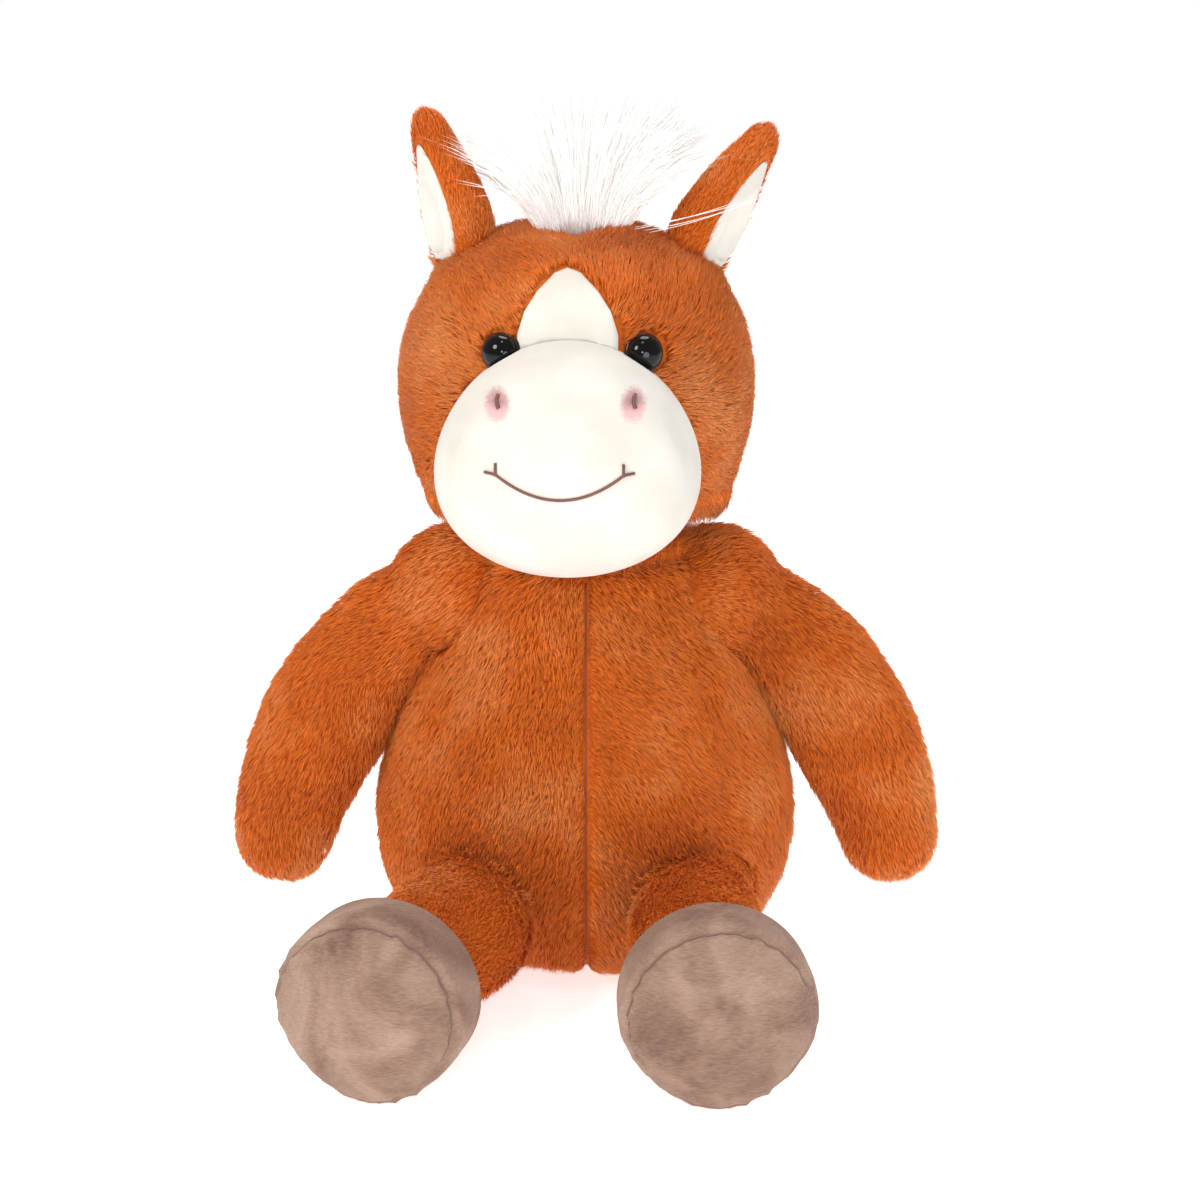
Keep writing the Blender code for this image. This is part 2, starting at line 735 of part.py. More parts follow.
def make_mane(face):
    crown = Vector((-head_left_shift, mane_back, crown_height - crown_dip - mane_root))
    points = [crown + up * mane_height * share for share in (0, 0.33, 0.67, 1)]
    lock = swell(
        "forelock", white, points, mane_width, mane_depth, mane_girth_share, mane_cap_share, sideways,
    )
    ears = [as_cutter(ear_form("cut_ear", fibre, side, 2 * gap)) for side in (LEFT, RIGHT)]
    cut(lock, face, *ears)
    arc = []
    reach_y = head_depth / 2 + nape_thickness * nape_seat_share
    reach_z = head_height / 2 + nape_thickness * nape_seat_share
    start, steps = math.radians(nape_start_deg), 6
    sweep = nape_length / (head_depth / 2)
    for step in range(steps + 1):
        turn = start - sweep * step / steps
        arc.append(head_middle + Vector((0, reach_y * math.cos(turn), reach_z * math.sin(turn))))
    strip = swell(
        "nape_mane", white, arc, nape_width, nape_thickness, even_girth_share, nape_cap_share, sideways,
    )
    room = as_cutter(swell(
        "cut_lock", fibre, points, mane_width, mane_depth, mane_girth_share, mane_cap_share, sideways, 2 * gap,
    ))
    cut(strip, face, room)


def make_tail():
    """A tuft that leaves the back above the seat and hangs to just over the floor."""
    back = torso_depth / 2 * table_at(torso_girth_share, tail_root_height / torso_height) - tail_width / 3
    low = tail_width / 2 + tail_floor_gap
    points = [
        Vector((0, back, tail_root_height)),
        Vector((0, back + tail_length * 0.40, tail_root_height - (tail_root_height - low) * 0.25)),
        Vector((0, back + tail_length * 0.75, tail_root_height - (tail_root_height - low) * 0.70)),
        Vector((0, back + tail_length, low)),
    ]
    tail = swell(
        "tail", white, points, tail_width, tail_width, tail_girth_share, tail_cap_share, sideways,
    )
    cut(tail, as_cutter(torso_form("cut_seat_back", fibre, gap)))


# Limbs

def limb(skin, filling, form, pivot, radius, keep_out, mouth_aim):
    """A cloth tube that ends in a ball at the joint, open where the ball faces the torso, and its filling."""
    outer = form(skin, brown, 0.0)
    cut(outer, *keep_out(gap))
    combine(outer, [joint_ball("join_ball", pivot, radius)], "UNION")
    hollow = as_cutter(form("cut_hollow", fibre, -pile_cloth))
    cut(hollow, *keep_out(pile_cloth + gap))
    combine(hollow, [joint_ball("join_ball", pivot, radius - pile_cloth, inner_sides, inner_rings)], "UNION")
    reach = radius * limb_mouth_share
    profile = [(0, 0), (reach, 0), (reach, radius + overrun), (0, radius + overrun)]
    mouth = as_cutter(turned("cut_mouth", fibre, profile, pivot, mouth_aim))
    fill = form(filling, fibre, -pile_cloth - fill_gap)
    cut(fill, *keep_out(pile_cloth + fill_gap + gap))
    inner_radius = radius - pile_cloth - fill_gap
    combine(fill, [joint_ball("join_ball", pivot, inner_radius, inner_sides, inner_rings)], "UNION")
    return outer, fill, hollow, mouth


def limb_detail(grow):
    """The sides and rings of a limb's outer form, or of the plainer forms inside it."""
    return (inner_sides, inner_rings) if grow < 0 else (plain_sides, plain_rings)


def arm_points(side):
    pivot = arm_pivots[side]
    return [
        pivot + Vector((side * arm_reach * out, -arm_forward * down, -arm_drop * down)) for out, down in arm_path_share
    ]


def make_arms():
    for side, word in ((LEFT, "left"), (RIGHT, "right")):
        def form(name, kind, grow):
            return swell(
                name, kind, arm_points(side), arm_width, arm_thickness, arm_girth_share, arm_cap_share,
                sideways, grow, *limb_detail(grow),
            )

        def keep_out(grow):
            return [as_cutter(torso_form("cut_side", fibre, grow + gap))]

        outer, fill, hollow, mouth = limb(
            "arm_skin_" + word, "arm_stuffing_" + word, form, arm_pivots[side], arm_ball_radius, keep_out,
            Vector((-side, 0, 0)),
        )
        cut(outer, hollow, mouth)


def leg_axis(side):
    splay = math.radians(leg_splay_left_deg if side == LEFT else leg_splay_right_deg)
    return Vector((side * math.sin(splay), -math.cos(splay), 0))


def leg_swing(side):
    """The torso as the leg meets it through its range, for the room that its root needs."""
    inward = leg_splay_left_deg if side == LEFT else leg_splay_right_deg
    outward = leg_splay_most_deg - inward
    steps = 3
    return [side * inward - side * (inward + outward) * step / (steps - 1) for step in range(steps)]


def turned_about(piece, pivot, degrees):
    turn = Matrix.Rotation(math.radians(degrees), 4, "Z")
    piece.data.transform(Matrix.Translation(pivot) @ turn @ Matrix.Translation(-pivot))
    return piece


def hoof_form(name, kind, side, grow, detail=True):
    pivot, axis = leg_pivots[side], leg_axis(side)
    start = leg_length - hoof_overlap
    length = hoof_overlap + hoof_band_depth + hoof_sole_bulge
    points = [pivot + axis * (start + length * share) for share in (0, 0.33, 0.67, 1)]

    def toe(place, share):
        """Narrower towards the floor, so that the sole comes to a blunt point."""
        place = place.copy()
        middle = pivot + axis * (place - pivot).dot(axis)
        below = max(0.0, (middle.z - place.z) / (hoof_height / 2))
        off = place - middle
        flat = Vector((off.x, off.y, 0)) * (1 - hoof_point_share * below * below)
        return middle + flat + up * off.z

    return swell(
        name, kind, points, hoof_width, hoof_height, hoof_girth_share, hoof_cap_share,
        axis.cross(up), grow, fine_sides - 4 if detail else plain_sides, plain_rings, toe,
    )


def make_legs():
    floor = block("cut_floor", (-wide, -wide, -wide), (wide, wide, 0))
    inner_floor = block("cut_inner_floor", (-wide, -wide, -wide), (wide, wide, velour_cloth))
    fill_floor = block("cut_fill_floor", (-wide, -wide, -wide), (wide, wide, velour_cloth + fill_gap))
    for side, word in ((LEFT, "left"), (RIGHT, "right")):
        pivot, axis = leg_pivots[side], leg_axis(side)

        def form(name, kind, grow):
            points = [pivot + axis * leg_length * share for share in (0, 0.33, 0.67, 1)]
            return swell(
                name, kind, points, leg_width, leg_width, leg_girth_share, leg_cap_share,
                axis.cross(up), grow, *limb_detail(grow),
            )

        def keep_out(grow):
            return [
                as_cutter(turned_about(torso_form("cut_front", fibre, grow + gap), pivot, angle))
                for angle in leg_swing(side)
            ]

        outer, fill, hollow, mouth = limb(
            "leg_skin_" + word, "leg_stuffing_" + word, form, pivot, leg_ball_radius, keep_out, -axis,
        )
        seam = leg_length + hoof_band_depth
        far = [(0, seam), (wide, seam), (wide, seam + wide), (0, seam + wide)]
        beyond = as_cutter(turned("cut_beyond", fibre, far, pivot, axis))
        near = [(0, -wide), (wide, -wide), (wide, seam + gap), (0, seam + gap)]
        before = as_cutter(turned("cut_before", fibre, near, pivot, axis))
        ankle_reach = leg_width / 2 * ankle_mouth_share
        ankle_profile = [
            (0, leg_length / 2), (ankle_reach, leg_length / 2), (ankle_reach, leg_length + overrun),
            (0, leg_length + overrun),
        ]
        ankle = as_cutter(turned("cut_ankle", fibre, ankle_profile, pivot, axis))
        cut(outer, hollow, mouth, ankle)
        calf = as_cutter(form("cut_calf", fibre, gap))
        inside = as_cutter(hoof_form("cut_inside", fibre, side, -velour_cloth, False))
        cut(inside, inner_floor)
        band = hoof_form("hoof_band_" + word, taupe, side, 0.0)
        cut(band, inside, calf, beyond, floor)
        sole = hoof_form("hoof_sole_" + word, taupe, side, 0.0)
        cut(sole, inside, before, floor)
        pad = hoof_form("hoof_stuffing_" + word, fibre, side, -velour_cloth - fill_gap, False)
        cut(pad, calf, fill_floor)


# Assembly

def holder(name, place, parent=None):
    """An empty on a joint's axis, which carries the pieces of one body."""
    made = bpy.data.objects.new(name, None)
    bpy.context.scene.collection.objects.link(made)
    made.empty_display_size = gap
    made.parent = parent
    made.location = place - (world_place(parent) if parent else Vector())
    return made


def world_place(item):
    place = Vector()
    while item:
        place += item.location
        item = item.parent
    return place


def assemble():
    """Hangs each piece on its body's empty and stands the whole on the middle of its footprint."""
    pieces = [item for item in bpy.data.objects if item.type == "MESH"]
    toy = holder("toy", Vector())
    neck = holder("neck_turn_axis", neck_pivot, toy)
    head = holder("head_nod_axis", neck_pivot, neck)
    carriers = {"torso": toy, "pellet": toy, "tail": toy, "neck": neck}
    for side, word in ((LEFT, "left"), (RIGHT, "right")):
        carriers["arm_" + word] = holder("arm_" + word + "_axis", arm_pivots[side], toy)
        carriers["leg_" + word] = holder("leg_" + word + "_axis", leg_pivots[side], toy)
    low, high = Vector((wide, wide, wide)), Vector((-wide, -wide, -wide))
    for piece in pieces:
        group, word = piece.name.split("_")[0], piece.name.split("_")[-1]
        limb_name = {"hoof": "leg_" + word, "leg": "leg_" + word, "arm": "arm_" + word}.get(group, group)
        carrier = carriers.get(limb_name, head)
        piece.parent = carrier
        piece.location = -world_place(carrier)
        for vert in piece.data.vertices:
            low = Vector([min(pair) for pair in zip(low, vert.co)])
            high = Vector([max(pair) for pair in zip(high, vert.co)])
    middle = (low + high) / 2
    toy.location = Vector((-middle.x, -middle.y, 0))
    print("Footprint middle", [round(value, 6) for value in toy.location])


make_torso()
make_head()
whole_head = as_cutter(head_form("cut_whole_head", fibre, gap))
make_stitches()
make_ears(whole_head)
make_mane(whole_head)
make_tail()
make_arms()
make_legs()
drop_helpers()
assemble()
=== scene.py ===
import json
from math import atan2, ceil, copysign, cos, exp, hypot, pi, radians, sin, sqrt, tan, tau

import bmesh
import bpy
import numpy as np
from mathutils import Matrix, Vector, noise
from mathutils.bvhtree import BVHTree


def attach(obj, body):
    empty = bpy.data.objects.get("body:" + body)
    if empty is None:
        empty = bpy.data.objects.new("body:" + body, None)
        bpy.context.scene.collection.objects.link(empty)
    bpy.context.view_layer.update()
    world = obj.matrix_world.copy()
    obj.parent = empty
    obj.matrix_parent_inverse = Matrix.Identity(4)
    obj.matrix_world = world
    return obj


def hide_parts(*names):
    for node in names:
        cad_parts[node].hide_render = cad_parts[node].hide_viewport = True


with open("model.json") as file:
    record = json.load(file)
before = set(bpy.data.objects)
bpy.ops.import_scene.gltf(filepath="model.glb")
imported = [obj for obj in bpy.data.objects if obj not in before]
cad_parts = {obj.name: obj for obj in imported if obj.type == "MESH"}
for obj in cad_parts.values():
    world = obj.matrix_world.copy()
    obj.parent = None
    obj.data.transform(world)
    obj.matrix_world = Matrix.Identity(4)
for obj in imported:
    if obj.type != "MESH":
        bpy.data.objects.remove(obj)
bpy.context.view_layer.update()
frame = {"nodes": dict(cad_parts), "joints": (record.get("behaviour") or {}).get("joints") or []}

# The toy faces -Y. Left and right are the viewer's, and left is -X.
pivots = {joint["name"]: Vector(joint["pos_m"]) for joint in frame["joints"]}
jointAxes = {joint["name"]: Vector(joint["axis"]) for joint in frame["joints"]}
midline = Vector((0, pivots["arm_left_raise"].y, 0))     # the upright line through the torso
sideways, ahead, upward = Vector((1, 0, 0)), Vector((0, -1, 0)), Vector((0, 0, 1))
sides, halves = {"left": -1, "right": 1}, {"Front": -1, "Back": 1}
quarters, thirds = (0, 0.25, 0.5, 0.75, 1), (0, 0.33, 0.67, 1)     # shares of a straight path
pileRise = 0.0026        # pile tips stand this far off the knitted backing, level with the CAD's surface
clearance = 0.0004       # kept between two pieces that touch or turn in each other
sewnDepth = 0.0002       # what is sewn on the head sits this deep in its backing
beyond = 0.3             # reach of a cutting form, past every part of the toy
balls = {"neck_turn": 0.023}     # radius of the ball that turns in the torso at each joint
for word in sides:
    balls["arm_" + word + "_raise"] = 0.0225
    balls["leg_" + word + "_splay"] = 0.0222
rng = np.random.default_rng(5)


# Small helpers

# sRGB hex to the linear colour that a shader takes
def linear(hexColour):
    values = [int(hexColour[i:i + 2], 16) / 255 for i in (1, 3, 5)]
    return [v / 12.92 if v <= 0.04045 else ((v + 0.055) / 1.055) ** 2.4 for v in values] + [1]


# one node; an input is given a value, an output to link, or a node for its first output
def node(tree, kind, settings=None):
    new = tree.nodes.new("ShaderNode" + kind)
    for key, value in (settings or {}).items():
        if isinstance(value, bpy.types.Node):
            value = value.outputs[0]
        if isinstance(key, str) and hasattr(new, key):
            setattr(new, key, value)
        elif isinstance(value, bpy.types.NodeSocket):
            tree.links.new(value, new.inputs[key])
        else:
            new.inputs[key].default_value = value
    return new


# a material; build adds its nodes and gives the shader that reaches the output
def material(name, build):
    mat = bpy.data.materials.new(name)
    mat.use_nodes = True
    tree = mat.node_tree
    tree.nodes.clear()
    node(tree, "OutputMaterial", {"Surface": build(tree)})
    return mat


# a colour ramp; stops are (place, hex colour)
def ramp(tree, source, stops):
    new = node(tree, "ValToRGB", {"Fac": source})
    band = new.color_ramp
    while len(band.elements) < len(stops):
        band.elements.new(0.5)
    for element, (place, colour) in zip(band.elements, stops):
        element.position = place
        element.color = linear(colour)
    return new


def blended(tree, factor, low, high, kind="MIX"):
    mix = node(tree, "Mix", {"data_type": "RGBA", "blend_type": kind, 0: factor, 6: low, 7: high})
    return mix.outputs[2]


def objectNoise(tree, scale, detail=2.0, roughness=0.5, distortion=0.0):
    return node(tree, "TexNoise", {
        "Scale": scale, "Detail": detail, "Roughness": roughness, "Distortion": distortion,
        "Vector": node(tree, "TexCoord").outputs["Object"],
    })


# a smooth value between the rows of a table
def smoothTable(table, share):
    places = np.array([row[0] for row in table], float)
    values = np.array([row[1] for row in table], float)
    slopes = np.gradient(values, places)
    at = min(max(share, places[0]), places[-1])
    i = min(int(np.searchsorted(places, at, side="right")) - 1, len(places) - 2)
    span = places[i + 1] - places[i]
    t = (at - places[i]) / span
    return float(
        (2 * t**3 - 3 * t**2 + 1) * values[i] + (t**3 - 2 * t**2 + t) * span * slopes[i]
        + (3 * t**2 - 2 * t**3) * values[i + 1] + (t**3 - t**2) * span * slopes[i + 1]
    )


# how far a rounded end has closed, from 0 at its very end to 1 along the form
def closing(share, cap):
    edge = min(share, 1 - share)
    return 1.0 if edge >= cap else sqrt(max(0.0, 1 - (1 - edge / cap) ** 2))


def straight(base, direction, start, length, shares):
    return [base + direction * (start + length * s) for s in shares]


# a smooth curve through points, and its direction, at a share of its length
def routeAt(points, share):
    steps = [0.0]
    for a, b in zip(points, points[1:]):
        steps.append(steps[-1] + (b - a).length)
    tables = [[(s / steps[-1], point[axis]) for s, point in zip(steps, points)] for axis in range(3)]

    def at(s):
        return Vector([smoothTable(table, s) for table in tables])

    return at(share), (at(min(1, share + 0.01)) - at(max(0, share - 0.01))).normalized()


# a ball drawn out along the points, with its girth from the form's table
def softForm(points, form, side, grow, around, rings, shape=None):
    bm = bmesh.new()
    bmesh.ops.create_uvsphere(bm, u_segments=around, v_segments=rings, radius=1)
    known = {}
    for vert in bm.verts:
        unit = vert.co.copy()
        share = round((1 - max(-1.0, min(1.0, unit.z))) / 2, 6)
        if share not in known:
            centre, along = routeAt(points, share)
            across = (side - along * side.dot(along)).normalized()
            closed, girth = closing(share, form["cap"]), smoothTable(form["girth"], share)
            known[share] = (centre, along, across, along.cross(across), closed, girth)
        centre, along, across, other, closed, girth = known[share]
        flat = max(1e-9, hypot(unit.x, unit.y))
        off = Vector()
        if flat > 1e-6:
            off = across * (form["width"] / 2 * girth + grow) * closed * unit.x / flat
            off += other * (form["depth"] / 2 * girth + grow) * closed * unit.y / flat
        place = centre + off + (along if share > 0.5 else -along) * grow * (1 - closed)
        vert.co = shape(place, share) if shape else place
    return outward(bm)


def outward(bm):
    bmesh.ops.recalc_face_normals(bm, faces=bm.faces)
    if bm.calc_volume(signed=True) < 0:
        bmesh.ops.reverse_faces(bm, faces=bm.faces)
    return bm


def ballForm(centre, radius, around=48, rings=32):
    bm = bmesh.new()
    bmesh.ops.create_uvsphere(bm, u_segments=around, v_segments=rings, radius=radius)
    bmesh.ops.translate(bm, vec=centre, verts=bm.verts)
    return bm


# a profile of (radius, height) pairs turned about its own axis, then stood along the given axis
def turnedForm(profile, place, axis, around=48):
    bm = bmesh.new()
    verts = [bm.verts.new((radius, 0, height)) for radius, height in profile]
    edges = [bm.edges.new(pair) for pair in zip(verts, verts[1:])]
    bmesh.ops.spin(
        bm, geom=verts + edges, cent=(0, 0, 0), axis=(0, 0, 1), angle=tau, steps=around, use_merge=True
    )
    bmesh.ops.remove_doubles(bm, verts=bm.verts, dist=0.00001)
    turn = upward.rotation_difference(Vector(axis).normalized()).to_matrix().to_4x4()
    bmesh.ops.transform(bm, matrix=Matrix.Translation(place) @ turn, verts=bm.verts)
    return outward(bm)


# a thread laid through places, as a closed tube; steady is a direction that it never takes
def threadTube(places, radius, steady=ahead):
    bm, around, rims = bmesh.new(), 10, []
    for i, place in enumerate(places):
        along = (places[min(i + 1, len(places) - 1)] - places[max(i - 1, 0)]).normalized()
        across = along.cross(steady).normalized()
        turn = Matrix.Translation(place) @ Matrix((across, along.cross(across), along)).transposed().to_4x4()
        rims.append(bmesh.ops.create_circle(bm, segments=around, radius=radius, matrix=turn)["verts"])
    for near, far in zip(rims, rims[1:]):
        for i in range(around):
            j = (i + 1) % around
            bm.faces.new((near[i], near[j], far[j], far[i]))
    bm.faces.new(rims[0])
    bm.faces.new(rims[-1])
    return outward(bm)


# low uneven swellings, as loose filling gives a sewn skin; the seed picks a place in the noise
def lumps(bm, size, height, seed):
    offset = Vector((seed * 7.3, seed * 3.1, seed * 5.7))
    deepest = -0.15
    bm.normal_update()
    for vert in bm.verts:
        vert.co += vert.normal * max(deepest, noise.noise(vert.co / size + offset)) * height
    return bm


def placed(name, data):
    obj = bpy.data.objects.new(name, data)
    bpy.context.scene.collection.objects.link(obj)
    return obj


# a form's mesh; the form is used up
def meshOf(name, form):
    mesh = bpy.data.meshes.new(name)
    form.to_mesh(mesh)
    form.free()
    return mesh


# an object to put modifiers on
def holder(form):
    return placed("working", meshOf("working", form))


# the form that an object's modifiers give; the objects are used up
def modified(obj, others=()):
    result = bmesh.new()
    result.from_mesh(obj.evaluated_get(bpy.context.evaluated_depsgraph_get()).to_mesh())
    for used in [obj, *others]:
        bpy.data.objects.remove(used)
    return result


# a mesh made even and its creases rounded, as cloth over filling is
def softened(bm, voxel, steps):
    obj = holder(bm)
    even = obj.modifiers.new("even", "REMESH")
    even.mode, even.voxel_size = "VOXEL", voxel
    result = modified(obj)
    for turn in range(steps):
        bmesh.ops.smooth_vert(
            result, verts=result.verts, factor=0.5, use_axis_x=True, use_axis_y=True, use_axis_z=True
        )
    return outward(result)


# a form joined with, or cut by, others, which are used up
def combined(bm, others, operation="DIFFERENCE"):
    main, helpers = holder(bm), [holder(form) for form in others]
    for helper in helpers:
        step = main.modifiers.new("cut", "BOOLEAN")
        step.operation, step.solver, step.object = operation, "EXACT", helper
    return modified(main, helpers)


# a finished piece: its form or mesh, material, body, and the CAD nodes that it stands for
def piece(name, form, mat, body, nodes):
    mesh = form if isinstance(form, bpy.types.Mesh) else meshOf(name, form)
    mesh.materials.append(mat)
    mesh.shade_smooth()
    obj = placed(name, mesh)
    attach(obj, body)
    if nodes:
        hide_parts(*nodes)
    return obj


# the point of a piece's front that a line from straight ahead meets, and the normal there
def frontOf(obj, x, z):
    return obj.ray_cast(Vector((x, -1, z)), -ahead)[1:3]


# Materials

# a fibre's own random share, and the place along it, as its UV map says
def strandShares(tree):
    parts = node(tree, "SeparateXYZ", {0: node(tree, "UVMap", {"uv_map": "strand"})})
    return parts.outputs[0], parts.outputs[1]


# where the pile was stroked another way, 35 mm across
def napPatches(tree, stops):
    return ramp(tree, objectNoise(tree, 28.0, 2.5, 0.55), stops)


# Acrylic pile, cut and brushed: satin fibres, deep orange at the root and paler at the tip, the paler tips a
# painted glow.
def russetPile(tree):
    own, place = strandShares(tree)
    # painted glow of light through the fibres: each fibre turns paler towards its tip
    along = ramp(tree, place, [(0.0, "#C85A12"), (0.35, "#E46E14"), (0.8, "#F28426"), (1.0, "#FEA860")])
    warm = napPatches(tree, [(0.32, "#CC560A"), (0.5, "#EE7A1C"), (0.68, "#FFAE68")])
    vary = node(tree, "Math", {"operation": "MULTIPLY_ADD", 0: own, 1: 0.24, 2: 0.88})
    tone = node(tree, "HueSaturation", {"Value": vary, "Color": blended(tree, 0.5, along, warm)})
    return node(tree, "BsdfPrincipled", {
        "Roughness": 0.6, "Specular IOR Level": 0.25, "Sheen Weight": 0.16, "Sheen Roughness": 0.45,
        "Sheen Tint": linear("#FFD9B8"), "Base Color": tone,
    })


# The knitted backing between the fibres: dull and dark, with 1.4 mm tufts.
def russetBacking(tree):
    tufts = objectNoise(tree, 700.0)
    warm = napPatches(tree, [(0.3, "#B44E10"), (0.5, "#C8621C"), (0.72, "#D67A34")])
    dots = ramp(tree, tufts, [(0.35, "#AA480E"), (0.65, "#CC681E")])
    return node(tree, "BsdfPrincipled", {
        "Roughness": 0.9, "Specular IOR Level": 0.15, "Base Color": blended(tree, 0.4, warm, dots),
        "Normal": node(tree, "Bump", {"Strength": 0.6, "Distance": 0.0006, "Height": tufts}),
    })


# Long acrylic hair: smooth and silky. Hairs pass light on to each other more often than a render follows it,
# so a little of it is given back as a glow.
def whiteHair(tree):
    own, place = strandShares(tree)
    tone = ramp(tree, own, [(0.0, "#F8F5F2"), (0.5, "#FEFDFC"), (1.0, "#FFFFFF")])
    # painted shade: each hair is a little darker at its root, where the hairs crowd together
    root = ramp(tree, place, [(0.0, "#F6EEE8"), (0.2, "#FEFDFC"), (1.0, "#FFFFFF")])
    return node(tree, "BsdfPrincipled", {
        "Roughness": 0.4, "Specular IOR Level": 0.4, "Base Color": blended(tree, 1.0, tone, root, "MULTIPLY"),
        "Emission Color": [1, 1, 1, 1], "Emission Strength": 0.15,
    })


# Short sheared velour: nearly smooth, with a 0.6 mm pile that catches light at grazing angles.
def shearedVelour(tree, colour):
    fine = objectNoise(tree, 1500.0, 3.0)
    return node(tree, "BsdfPrincipled", {
        "Roughness": 0.85, "Specular IOR Level": 0.25, "Sheen Weight": 0.2, "Sheen Roughness": 0.5,
        "Base Color": colour, "Normal": node(tree, "Bump", {"Strength": 0.35, "Distance": 0.00035, "Height": fine}),
    })


def creamTone(tree):
    return ramp(tree, objectNoise(tree, 60.0), [(0.35, "#D6D2C9"), (0.62, "#DEDBD3")])


# Sheared velour in cream, for the blaze and the ears' linings.
def creamVelour(tree):
    return shearedVelour(tree, creamTone(tree))


# The muzzle's velour, with each nostril airbrushed on it: mauve above and pink below, fading at the rim.
def muzzleVelour(tree):
    place = node(tree, "TexCoord").outputs["Object"]
    colour = creamTone(tree)
    for spot in nostrilSpots:
        away = node(tree, "Mapping", {
            "Location": [-spot[i] / nostril["radii"][i] for i in range(3)],
            "Scale": [1 / radius for radius in nostril["radii"]], "Vector": place,
        })
        far = node(tree, "VectorMath", {"operation": "LENGTH", 0: away}).outputs["Value"]
        dust = node(tree, "Math", {
            "operation": "MULTIPLY_ADD", 0: objectNoise(tree, 900.0), 1: 0.5, 2: -0.25,
        })
        soft = node(tree, "Math", {"operation": "ADD", 0: far, 1: dust})
        mauve = ramp(tree, soft, [(0.0, "#856365"), (0.34, "#AA8587"), (0.65, "#C09A99"), (1.0, "#D2AFAE")])
        height = node(tree, "SeparateXYZ", {0: away}).outputs[2]
        low = node(tree, "MapRange", {0: height, 1: 0.1, 2: -0.45, 3: 0.0, 4: 1.0})
        sprayed = node(tree, "MapRange", {0: soft, 1: 1.05, 2: 0.7, 3: 0.0, 4: 1.0})
        colour = blended(tree, sprayed, colour, blended(tree, low, mauve, linear("#E2B3B4")))
    return shearedVelour(tree, colour)


# Crushed velour: the nap lies both ways, so patches of 10 to 20 mm turn dark or pale, with 0.5 mm strokes.
def taupeVelour(tree):
    stretched = node(tree, "Mapping", {
        "Rotation": [0.5, 0.9, 0.3], "Scale": [420.0, 900.0, 2200.0],
        "Vector": node(tree, "TexCoord").outputs["Object"],
    })
    streak = node(tree, "TexNoise", {"Scale": 1.0, "Detail": 3.0, "Vector": stretched})
    nap = ramp(tree, objectNoise(tree, 30.0, 3.0, 0.6, 0.8), [
        (0.32, "#5E4238"), (0.45, "#856859"), (0.55, "#A08574"), (0.7, "#BA9F8E"),
    ])
    grain = ramp(tree, streak, [(0.3, "#76584B"), (0.7, "#B09382")])
    lift = node(tree, "Math", {"operation": "ADD", 0: objectNoise(tree, 1900.0, 3.0), 1: streak})
    return node(tree, "BsdfPrincipled", {
        "Roughness": 0.8, "Specular IOR Level": 0.25, "Sheen Weight": 0.3, "Sheen Roughness": 0.4,
        "Sheen Tint": linear("#E9D2C4"), "Base Color": blended(tree, 0.36, nap, grain),
        "Normal": node(tree, "Bump", {"Strength": 0.7, "Distance": 0.0005, "Height": lift}),
    })


# A moulded, woven or spun surface of one colour with a faint unevenness.
def plain(name, colour, scale, settings):
    def build(tree):
        grain = objectNoise(tree, scale)
        vary = node(tree, "MapRange", {0: grain, 3: 0.88, 4: 1.12})
        return node(tree, "BsdfPrincipled", {
            **settings, "Base Color": node(tree, "HueSaturation", {"Color": linear(colour), "Value": vary}),
            "Normal": node(tree, "Bump", {"Strength": 0.12, "Distance": 0.0001, "Height": grain}),
        })

    return material(name, build)


# Spun polyester thread, with its fine twist.
def thread(name, colour, roughness):
    return plain(name, colour, 2500.0, {"Roughness": roughness, "Sheen Weight": 0.2})


pileMat = material("russetAcrylicPile", russetPile)
backingMat = material("russetKnittedBacking", russetBacking)
hairMat = material("whiteAcrylicHair", whiteHair)
creamMat = material("creamShearedVelour", creamVelour)
taupeMat = material("taupeCrushedVelour", taupeVelour)
eyeMat = plain("blackMouldedAcrylic", "#070607", 300.0, {
    "Roughness": 0.05, "IOR": 1.45, "Specular IOR Level": 0.35,
})
rimMat = plain("brownMouldedAcrylic", "#3A1F12", 300.0, {"Roughness": 0.2, "IOR": 1.49})
threadMat = thread("brownPolyesterThread", "#70463F", 0.55)
# darker than the pile: the belly seam's thread is partly painted shade of its crease
russetSeamShadeMat = thread("russetSeamThreadShade", "#94400F", 0.6)
# darker than the hooves' velour: the hoof seam's thread is partly painted shade of its crease
hoofSeamShadeMat = thread("taupeSeamThreadShade", "#7E5E52", 0.6)
inner = {
    "stuffing": plain("whitePolyesterFibre", "#EDEDEB", 400.0, {"Roughness": 0.95}),
    "bag": plain("creamWovenCotton", "#D9D6CE", 1200.0, {"Roughness": 0.9}),
    "washer": plain("whiteMouldedPolyethylene", "#E0E0E3", 300.0, {"Roughness": 0.45, "IOR": 1.51}),
}
# the solids inside keep the CAD's form
for name, solid in frame["nodes"].items():
    for word, mat in inner.items():
        if word in name:
            solid.data.materials.clear()
            solid.data.materials.append(mat)
print("materials made")


# Strands

fibre = {
    "ground": 0.0003,           # nothing reaches through the ground
    "taper": (1.25, 0.75),      # thickness at the root, and how much it falls to the tip
    "cell": (0.04, 0.5, 0.96), "cellRise": (0.02, 0.96),     # where its faces lie in its cell of the bake map
}


